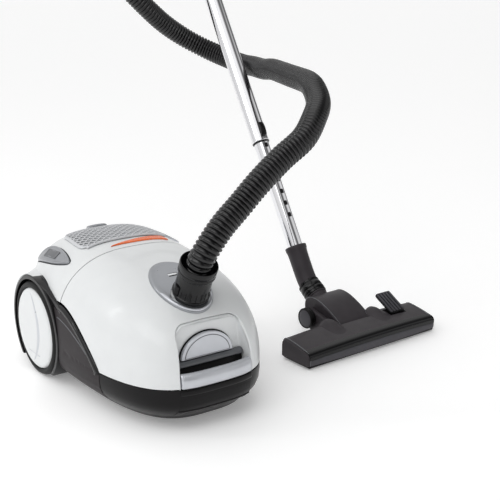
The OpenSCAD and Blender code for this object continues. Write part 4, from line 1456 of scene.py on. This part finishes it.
def smooth_loop(points, rounds=3):
    """Chaikin corner cutting of a closed outline."""
    for _ in range(rounds):
        cut = []
        for a, b in zip(points, points[1:] + points[:1]):
            cut.append((a[0] * 0.75 + b[0] * 0.25, a[1] * 0.75 + b[1] * 0.25))
            cut.append((a[0] * 0.25 + b[0] * 0.75, a[1] * 0.25 + b[1] * 0.75))
        points = cut
    return points


def scaled(points, amount, centre):
    """Outline drawn in towards a centre by about amount."""
    out = []
    for y, z in points:
        away = Vector((y - centre[0], z - centre[1]))
        length = max(away.length, 0.001)
        keep = max(length - amount, 0) / length
        out.append((centre[0] + away[0] * keep, centre[1] + away[1] * keep))
    return out


def cover_x(x, y, z):
    """The cover reaches further to the right than to the left, where it is clear of the pivot arms."""
    clear = max(smoothstep((z - 4) / 8), smoothstep((-y - 60) / 5))
    return x + clear * (0.07 * x + 3.3)


def make_pivot_cover():
    """Cover that tilts with the neck, with a fine raised line along each of its shoulders painted lighter as a
    highlight.
    """
    outline = smooth_loop(COVER_PROFILE)
    # Half width of the cover, and how far its outline is drawn in there
    ends = [(34.6, 6.5), (35.2, 4.0), (35.0, 2.2), (34.0, 0.9), (32.4, 0.1), (31, 0.0)]
    rows = []
    for x, amount in [(-x, amount) for x, amount in ends] + ends[::-1]:
        rows.append([(cover_x(x, y, z), y, z) for y, z in scaled(outline, amount, COVER_CENTRE)])
    cover = loft("pivot_cover", rows, PIVOT)
    own(cover, "neck", "charcoal", replaces=("pivot_housing",), angle=32)
    path = sorted((p for p in outline if p[1] > 2), key=lambda p: p[0])
    # Each shoulder line is painted lighter than the cover: a painted highlight along its edge.
    for side in (-1, 1):
        seam = [[(cover_x(side * 33.4, y, z) + dx, y, z + dz)
                 for dx, dz in ((-0.7, -1.4), (-0.5, 0.15), (0.5, 0.1), (0.7, -1.6))] for y, z in path]
        own(loft(f"cover_highlight_{side + 1}", seam, PIVOT), "neck", "charcoal", "silver_dark", angle=60)


def make_neck():
    """Throat of the swivel, and the web that joins it to the cover."""
    throat = [(13, 4), (18.6, 4), (19.2, 20), (19.0, 38), (20.2, 39), (20.2, 41.3), (13, 41.3)]
    own(lathe("neck_throat", throat, NECK), "neck", "charcoal")
    outline = rounded_rectangle(27, 19, 9)
    web = [[(x * (1 - 0.35 * s), y, 12 + 18 * s) for x, y in outline] for s in (0, 0.5, 1)]
    own(bevel(loft("neck_web", web, NECK), 1.5), "neck", "charcoal", angle=40)


def make_pivot_caps():
    """Round caps on the ends of the pivot, each with a lighter face inside its rim."""
    for side in (-1, 1):
        where = PIVOT @ shift(side * 46.2, 0, 0) @ turn(90 * side, "Y")
        rim = [(7, -12), (7, -0.2), (17.6, 0), (18.6, 0.8), (18.6, 3.4), (17.9, 4), (18.6, 4.6), (18.9, 5.4),
               (18.9, 9.6), (17.8, 11.4), (16.4, 11.6), (16, 10.8), (0.001, 10.8), (0.001, -12)]
        replaced = ("pivot_caps",) if side < 0 else ()
        own(lathe(f"cap_rim_{side + 1}", rim, where), "floor_head", "black_satin", replaces=replaced)
        face = [(0.001, 12.0), (9, 11.9), (14.2, 11.4), (15.6, 10.8), (15.6, 10.3), (0.001, 10.3)]
        own(lathe(f"cap_face_{side + 1}", face, where), "floor_head", "charcoal", "charcoal_front")


HEAD_HALF = 154
HEAD_DEEP = 73
TUFTS = 70


def head_top(x):
    """Height of the front edge of the top, which bows up in the middle."""
    return 27.5 + 5 * (1 - (x / HEAD_HALF) ** 2)


def head_front(x):
    """Place of the front face along y, which bows forwards a little in the middle."""
    return 4.0 * (x / HEAD_HALF) ** 2 - 1.5


def head_section(x):
    """Side view of the head at x, in y and z, from the foot of the front round to the back."""
    foot = 5.2
    top, front = head_top(x), head_front(x)
    return [(front + 3, foot), (front + 0.6, foot + 2.4), (front, top - 9), (front + 0.7, top - 4.4),
            (front + 2.6, top - 1.6), (front + 6, top + 0.3), (front + 12, top + 1.8), (24, top + 4.2),
            (40, top + 7.4), (56, top + 10), (64, top + 10.6), (69, top + 9.2), (72, top + 5.4),
            (73, top - 2), (73, foot + 2), (71, foot)]


def top_at(x, y):
    """Height of the head's top surface at x and y."""
    line = head_section(x)[5:12]
    return float(np.interp(y, [p[0] for p in line], [p[1] for p in line]))


def make_head_shell():
    """Hollow shell of the floor head, with a bay for the pivot and a slot for the pedal's stem."""
    straight = 150.5
    middle_y, middle_z = HEAD_DEEP / 2, 20
    rows = []
    for x in [-153.8, -152.6] + list(np.linspace(-straight, straight, 61)) + [152.6, 153.8]:
        draw = max(abs(x) - straight, 0) / 3.3
        row = []
        for y, z in head_section(x):
            scallop = 0.9 * (1 + math.cos(x / 4.6)) if z < 7 and -150 < x < -112 else 0
            row.append((x, y + (middle_y - y) * 0.05 * draw, z + (middle_z - z) * 0.09 * draw + scallop))
        rows.append(row)
    shell = loft("head_cover", rows, HEAD)
    boolean(shell, box("hollow", (-HEAD_HALF + 4, 5, -5), (HEAD_HALF - 4, HEAD_DEEP - 4, 22), HEAD, 0))
    boolean(shell, box("bay", (-36.4, 50.6, 8), (42.6, 90, 70), HEAD, 0))
    boolean(shell, box("pedal_slot", (74, 37, 20), (114, 60, 60), HEAD, 0))
    own(shell, "floor_head", "charcoal", replaces=("head_shell",), angle=32, weighted=True)


def make_head_trim():
    """Lighter panel of the front face, glossy edge over it, and a ridge round each end."""
    panel = []
    for x in np.linspace(-149.4, 149.4, 61):
        top = head_top(x)
        panel.append([(x, head_front(x) + dy, z) for dy, z in (
            (1.2, 6.8), (-0.5, 7.4), (-0.9, 9), (-0.9, top - 12.4), (-0.5, top - 11.6), (1.2, top - 11))])
    own(loft("front_panel", panel, HEAD), "floor_head", "charcoal", "charcoal_front", angle=40)
    edge = []
    for x in np.linspace(-150.6, 150.6, 61):
        front, top = head_front(x), head_top(x)
        edge.append([(x, front + dy, top + dz) for dy, dz in (
            (1.6, -11.2), (-1.1, -10.8), (-0.9, -5), (0.9, -1.7), (3.6, 0.2), (8, 1.6), (14.5, 2.9),
            (14.5, 0.6), (4, -3))])
    own(loft("front_edge", edge, HEAD), "floor_head", "black_gloss", angle=60)
    for side in (-1, 1):
        ridge = []
        x = side * 148.6
        for y, z in head_section(x)[1:14]:
            away = Vector((y - 36, z - 14)).normalized()
            ridge.append([(x + dx, y + away[0] * out, z + away[1] * out)
                          for dx, out in ((-1.3, -0.4), (-0.8, 1.0), (0.8, 1.0), (1.3, -0.4))])
        own(loft(f"end_ridge_{side + 1}", ridge, HEAD), "floor_head", "charcoal", "silver_dark", angle=60)


def make_arm(side):
    """Arm that carries the pivot behind the head, with a well for its roller."""
    pivot_z = 36
    outline = [(62, 38), (62, 18), (100, 8.5), (106, 6.4), (112, 6), (117, 8.4)]
    outline += [(HEAD_FRONT_TO_PIVOT + 16 * math.cos(a), pivot_z + 16 * math.sin(a))
                for a in np.linspace(-0.75, 1.75, 14)]
    # The right arm is thinner, because the cover reaches further over there
    low, high = (-45.8, -36.4) if side < 0 else (41.5, 45.8)
    rows = [[(x, y, z) for y, z in smooth_loop(outline, 2)] for x in (low, high)]
    arm = bevel(loft(f"pivot_arm_{side + 1}", rows, HEAD), 1.8, 3)
    profile = [(12.8, -2.9), (0.001, -2.9), (0.001, 2.9), (12.8, 2.9)]
    boolean(arm, lathe("roller_well", profile, HEAD @ shift(side * 41, 112, 12) @ turn(90, "Y"), 48))
    own(arm, "floor_head", "charcoal", weighted=True)


def make_swelling(side):
    """Swelling where an arm leaves the head's top."""
    rows = []
    for u in np.linspace(-1, 1, 29):
        x = side * (54 + 19 * u)
        # The two outer rows sink deeper into the head
        sink = 2 if abs(u) == 1 else 1
        row = []
        for v in np.linspace(0, 1, 29):
            y = 9 + 62 * v
            swell = math.cos(u * math.pi / 2) ** 0.9 * math.sin(math.pi * v ** 1.2 / 2) ** 2
            row.append((x, y, top_at(x, y) - sink + 10 * swell))
        rows.append(row)
    swelling = loft(f"arm_swelling_{side + 1}", rows, HEAD, wrap=False)
    face_away_from(swelling, HEAD @ Vector((side * 54, 40, 0)))
    thicken(swelling, 2)
    own(swelling, "floor_head", "charcoal", angle=60)


def make_head_pedal():
    """Ribbed rocker that leans back over the head."""
    where = HEAD @ shift(94, 44, 40) @ turn(29, "X")
    outline = [(-15.6, -4), (-17.6, -1), (-18, 8), (-18, 40), (-16.5, 44), (-13, 46), (13, 46), (16.5, 44),
               (18, 40), (18, 8), (17.6, -1), (15.6, -4)]
    plate = slab("rocker_plate", outline, 0.2, 3.6, where, 0.8)
    own(plate, "head_pedal", "black_gloss", replaces=("head_pedal",))
    # The ribs are a lighter grey than the plate: a painted highlight on their edges.
    for i in range(5):
        x = -14.4 + 7.2 * i
        rib = box(f"rocker_rib_{i}", (x - 2.3, -2.6, 3.0), (x + 2.3, 44.4, 5.8), where, 1.1)
        own(rib, "head_pedal", "black_satin", "charcoal_front")
    stem = box("rocker_stem", (82, 46, 30), (106, 54, 45), HEAD, 1)
    own(stem, "head_pedal", "black_satin")


def make_sole():
    """Sole plate with its suction mouth and two rows of bristles."""
    plate = box("sole", (-150.6, 3.4, 2.6), (150.6, 69.6, 6.8), HEAD, 0.8)
    boolean(plate, box("mouth", (-134, 26, -2), (134, 40, 12), HEAD, 0))
    for y in (12, 56):
        boolean(plate, box("strip_slot", (-142, y, -2), (142, y + 5, 12), HEAD, 0))
    own(plate, "floor_head", "black_satin", replaces=("sole_plate",))
    for row, y in enumerate((14.5, 58.5)):
        spine = box(f"bristle_spine_{row}", (-141.4, y - 1.9, 8), (141.4, y + 1.9, 12.4), HEAD, 0.4)
        own(spine, "brush", "brush_fibre", "black_satin", replaces=("brush_strips",) if row == 0 else ())
        tufts = []
        for i in range(TUFTS):
            x = -140 + 4.06 * i
            tuft = [[(x + 1.4, y + side * 1.4, 8.4), (x - 1.4, y + side * 1.4, 8.4),
                     (x - 1.4, y + side * 1.7, 0.4), (x + 1.4, y + side * 1.7, 0.4)] for side in (-1, 1)]
            tufts.append(loft(f"bristles_{row}_{i}", tuft, HEAD))
        own(joined(*tufts), "brush", "brush_fibre", angle=40)


make_pivot_cover()
make_neck()
make_pivot_caps()
make_head_shell()
make_head_trim()
for SIDE in (-1, 1):
    make_arm(SIDE)
    make_swelling(SIDE)
make_head_pedal()
make_sole()

# ---------------------------------------------------------------- handle


def bend_stations(radius_of, bend, degrees, start):
    """Stations along a bend that starts at height start along z and turns towards y."""
    stations = []
    for a in np.linspace(0, math.radians(degrees), 24):
        centre = Vector((0, bend - bend * math.cos(a), start + bend * math.sin(a)))
        heading = Vector((0, math.sin(a), math.cos(a)))
        stations.append((centre, heading, radius_of(a / math.radians(degrees))))
    return stations


def make_handle():
    """Bent handle: a ferrule on the outer tube, the grip, and a second bend towards the hose."""
    up = Vector((0, 0, 1))
    stations = []
    for z, radius in ((760.2, 18.6), (761, 19.6), (763, 20.1), (766, 20.1), (767.4, 19.4), (770, 19.2),
                      (786, 19.4), (790, 20), (808, 19.6), (818, 18.6)):
        stations.append((Vector((0, 0, z)), up, radius))
    stations += bend_stations(lambda s: 18 + 0.8 * math.sin(math.pi * s), BEND_R, HANDLE_BEND, HANDLE_START)
    to_wand = WAND.inverted() @ GRIP
    spin = to_wand.to_3x3()
    for z in np.linspace(2, 98, 49):
        groove = 0.55 * math.sin((z - 50) / 24 * 2 * math.pi) if 30 < z < 90 else 0
        stations.append((to_wand @ Vector((0, 0, z)), spin @ up, 17.6 + groove))
    for centre, heading, radius in bend_stations(lambda s: 17.8 + 0.2 * s, 60, 55, 100):
        stations.append((to_wand @ centre, spin @ heading, radius))
    handle = sweep("bent_handle", stations, WAND, 72)
    own(handle, "root", "black_satin", replaces=("handle",), angle=40)


def arc_points(radius, first, last, z):
    """Points on an arc about the grip's axis, with its angles in degrees from y."""
    angles = np.radians(np.linspace(first, last, 21))
    return [(radius * math.sin(a), radius * math.cos(a), z) for a in angles]


def make_grip_pad():
    """Softer pad on the back of the grip."""
    rows = []
    for z in np.linspace(-4, 104, 55):
        s = (z + 4) / 108
        width = 66 * math.sin(math.pi * min(max(s, 0.001), 0.999)) ** 0.35
        rise = 1.0 * math.sin(math.pi * min(max(s, 0.0), 1.0)) ** 0.3 if 0 < s < 1 else 0
        rib = 0.35 * math.sin(z * 1.2) if 0.12 < s < 0.88 else 0
        rows.append(arc_points(18.2 + rise + rib, -width, width, z) + arc_points(17, width, -width, z))
    own(loft("grip_pad", rows, GRIP), "root", "grey_plastic", angle=50)


def make_suction_slider():
    """Airflow slider and its track on the grip."""
    rows = []
    for z in np.linspace(20, 46, 27):
        s = (z - 20) / 26
        crown = 3.2 * math.sin(math.pi * min(max(s, 0.05), 0.95)) ** 0.5
        ridge = 0.5 * (round(z) % 2) if 0.2 < s < 0.8 else 0
        rows.append([(-7.6, -18.5, z), (-8, -18.9 - crown * 0.5, z), (-6, -18.6 - crown + ridge, z),
                     (0, -19 - crown + ridge, z), (6, -18.6 - crown + ridge, z), (8, -18.9 - crown * 0.5, z),
                     (7.6, -18.5, z)])
    slider = loft("airflow_slider", rows, GRIP)
    own(slider, "suction_slider", "grey_plastic", replaces=("suction_slider",), angle=40)
    frame_rows = [[(x, y, z) for x, z in rounded_rectangle(9.4, 24, 4, 6, (0, 41))] for y in (-15, -18.35)]
    track = bevel(loft("slider_track", frame_rows, GRIP), 0.4)
    own(track, "root", "black_satin", "black_gloss")


def make_cuff():
    """Ribbed cuff that turns on the end of the handle and holds the hose."""
    profile = [(14.2, 0.4), (19.6, 0.4), (21.6, 1.6), (22, 4), (22.4, 8), (21.4, 9.2), (21.4, 10.6),
               (22.6, 11.6)]
    for i in range(7):
        z = 14 + 4.6 * i
        groove = 22.7 + 0.18 * i
        crest = groove + 0.6
        profile += [(groove, z), (crest, z + 1), (crest, z + 2.6), (groove, z + 3.6)]
    profile += [(24, 47), (24, 49.4), (23, 50.2), (21.4, 50.2), (20.8, 49), (20.8, 12.2), (14.2, 12.2)]
    own(lathe("ribbed_cuff", profile, CUFF), "hose_cuff", "black_satin", replaces=("hose_cuff",))


make_handle()
make_grip_pad()
make_suction_slider()
make_cuff()

# ---------------------------------------------------------------- soft parts inside


def make_dust_bag():
    """Closed dust bag with soft folds, gathered in a line round its middle."""
    rows = []
    for v in np.linspace(-1, 1, 61):
        ring = (1 - abs(v) ** 3.2) ** (1 / 3.2) if abs(v) < 1 else 0.0
        ring = max(ring, 0.03)
        row = []
        for a in circle(120):
            c, s = math.cos(a), math.sin(a)
            x = 76 * ring * signed_power(c, 2 / 3.6)
            y = -194 + 66 * ring * signed_power(s, 2 / 3.4)
            z = 95 + 41.5 * v
            fold = 1.5 * math.sin(7 * a + 2.4 * v) + 1.0 * math.sin(13 * a - 3.1 * v) + 0.7 * math.sin(23 * a)
            pleat = -2.4 * math.exp(-(v / 0.05) ** 2)
            keep = 0.5 + 0.5 * (1 - abs(v)) ** 0.5
            draw = 1 - (1.6 - fold * 0.5 - pleat) * keep / 66
            row.append((x * draw, -194 + (y + 194) * draw, z - 0.8 * fold * abs(v)))
        rows.append(row)
    bag = loft("fleece_bag", rows)
    own(bag, "root", "bag_paper", replaces=("dust_bag",), angle=60)


def make_filter(name, half, where):
    """Pleated filter in a plastic frame; its thickness lies along the local z axis."""
    half_x, half_y, half_z = half
    steps = 22 * 6
    rows = []
    for i in range(steps + 1):
        x = (half_x - 3) * (2 * i / steps - 1)
        level = half_z - 1 - 1.8 * abs(((i / 6) % 1) * 2 - 1)
        corners = ((3 - half_y, level), (half_y - 3, level), (half_y - 3, -level), (3 - half_y, -level))
        rows.append([(x, y, z) for y, z in corners])
    core = loft(f"{name}_pleats", rows, where)
    own(core, "root", "filter_fleece", replaces=(name,), angle=20)
    rim = slab(f"{name}_frame", rounded_rectangle(half_x, half_y, 3), -half_z, half_z, where, 0.8)
    boolean(rim, slab("window", rounded_rectangle(half_x - 3.2, half_y - 3.2, 2), -20, 20, where, 0))
    own(rim, "root", "filter_fleece", "grey_plastic")


make_dust_bag()
make_filter("motor_filter", (46, 46, 4), BODY @ shift(0, -102.4, 90) @ turn(90, "X"))
make_filter("exhaust_filter", (56, 32, 6), BODY @ shift(0, -10, 202))

# ---------------------------------------------------------------- stage

def make_stage():
    """Wide white floor."""
    floor = bpy.data.meshes.new("floor")
    half = 40.0
    corners = [(-half, -half, 0), (half, -half, 0), (half, half, 0), (-half, half, 0)]
    floor.from_pydata(corners, [], [(0, 1, 2, 3)])
    made = bpy.data.objects.new("floor", floor)
    scene.collection.objects.link(made)
    white = bpy.data.materials.new("floor_white")
    white.use_nodes = True
    shader = white.node_tree.nodes["Principled BSDF"]
    shader.inputs["Base Color"].default_value = (0.93, 0.93, 0.93, 1)
    shader.inputs["Roughness"].default_value = 0.6
    shader.inputs["Specular IOR Level"].default_value = 0.1
    shader.inputs["Emission Color"].default_value = (1, 1, 1, 1)
    shader.inputs["Emission Strength"].default_value = 0.2
    floor.materials.append(white)


def area_light(name, at, towards, size, power, colour=(1, 1, 1)):
    data = bpy.data.lights.new(name, "AREA")
    data.shape = "RECTANGLE"
    data.size, data.size_y = size
    data.energy = power
    data.color = colour
    light = bpy.data.objects.new(name, data)
    light.location = Vector(at)
    light.rotation_euler = (Vector(towards) - Vector(at)).to_track_quat("-Z", "Y").to_euler()
    scene.collection.objects.link(light)


def make_world():
    """White room: brighter overhead, dimmer on the right so that dark bands show in the chrome."""
    world = bpy.data.worlds.new("studio")
    scene.world = world
    world.use_nodes = True
    tree = world.node_tree
    link = tree.links.new
    where = node(tree, "TexCoord")
    parts = node(tree, "SeparateXYZ")
    link(where.outputs["Generated"], parts.inputs["Vector"])
    height = ramp_node(tree, [(0.0, [0.66] * 3), (1.0, [1.0] * 3)])
    link(parts.outputs["Z"], height.inputs["Fac"])
    turned = node(tree, "Mapping", Rotation=(0, 0, math.radians(CAMERA_TURN)))
    link(where.outputs["Generated"], turned.inputs["Vector"])
    side_parts = node(tree, "SeparateXYZ")
    link(turned.outputs["Vector"], side_parts.inputs["Vector"])
    across = node(tree, "MapRange")
    across.inputs["From Min"].default_value = -1
    link(side_parts.outputs["X"], across.inputs["Value"])
    levels = ((0.0, 1.0), (1.0, 0.4), (0.6, 1.0), (0.74, 0.16), (0.86, 0.16), (0.93, 0.9))
    side_ramp = ramp_node(tree, [(place, [level] * 3) for place, level in levels])
    link(across.outputs["Result"], side_ramp.inputs["Fac"])
    both = node(tree, "Mix", data_type="RGBA", blend_type="MULTIPLY")
    both.inputs[0].default_value = 1.0
    link(height.outputs["Color"], both.inputs[MIX_A])
    link(side_ramp.outputs["Color"], both.inputs[MIX_B])
    link(both.outputs[MIX_OUT], tree.nodes["Background"].inputs["Color"])
    tree.nodes["Background"].inputs["Strength"].default_value = 1.12


def make_lights():
    """Soft key light from the front left, and a narrow strip that the chrome reflects."""
    middle = (-0.05, 0.0, 0.2)
    area_light("key", (-1.7, -1.1, 2.3), middle, (2.2, 1.4), 14)
    area_light("strip", (-1.6, 0.5, 1.3), (0.05, 0.0, 0.6), (0.12, 1.2), 3)
    scene.view_settings.view_transform = "Standard"


make_world()
make_stage()
make_lights()
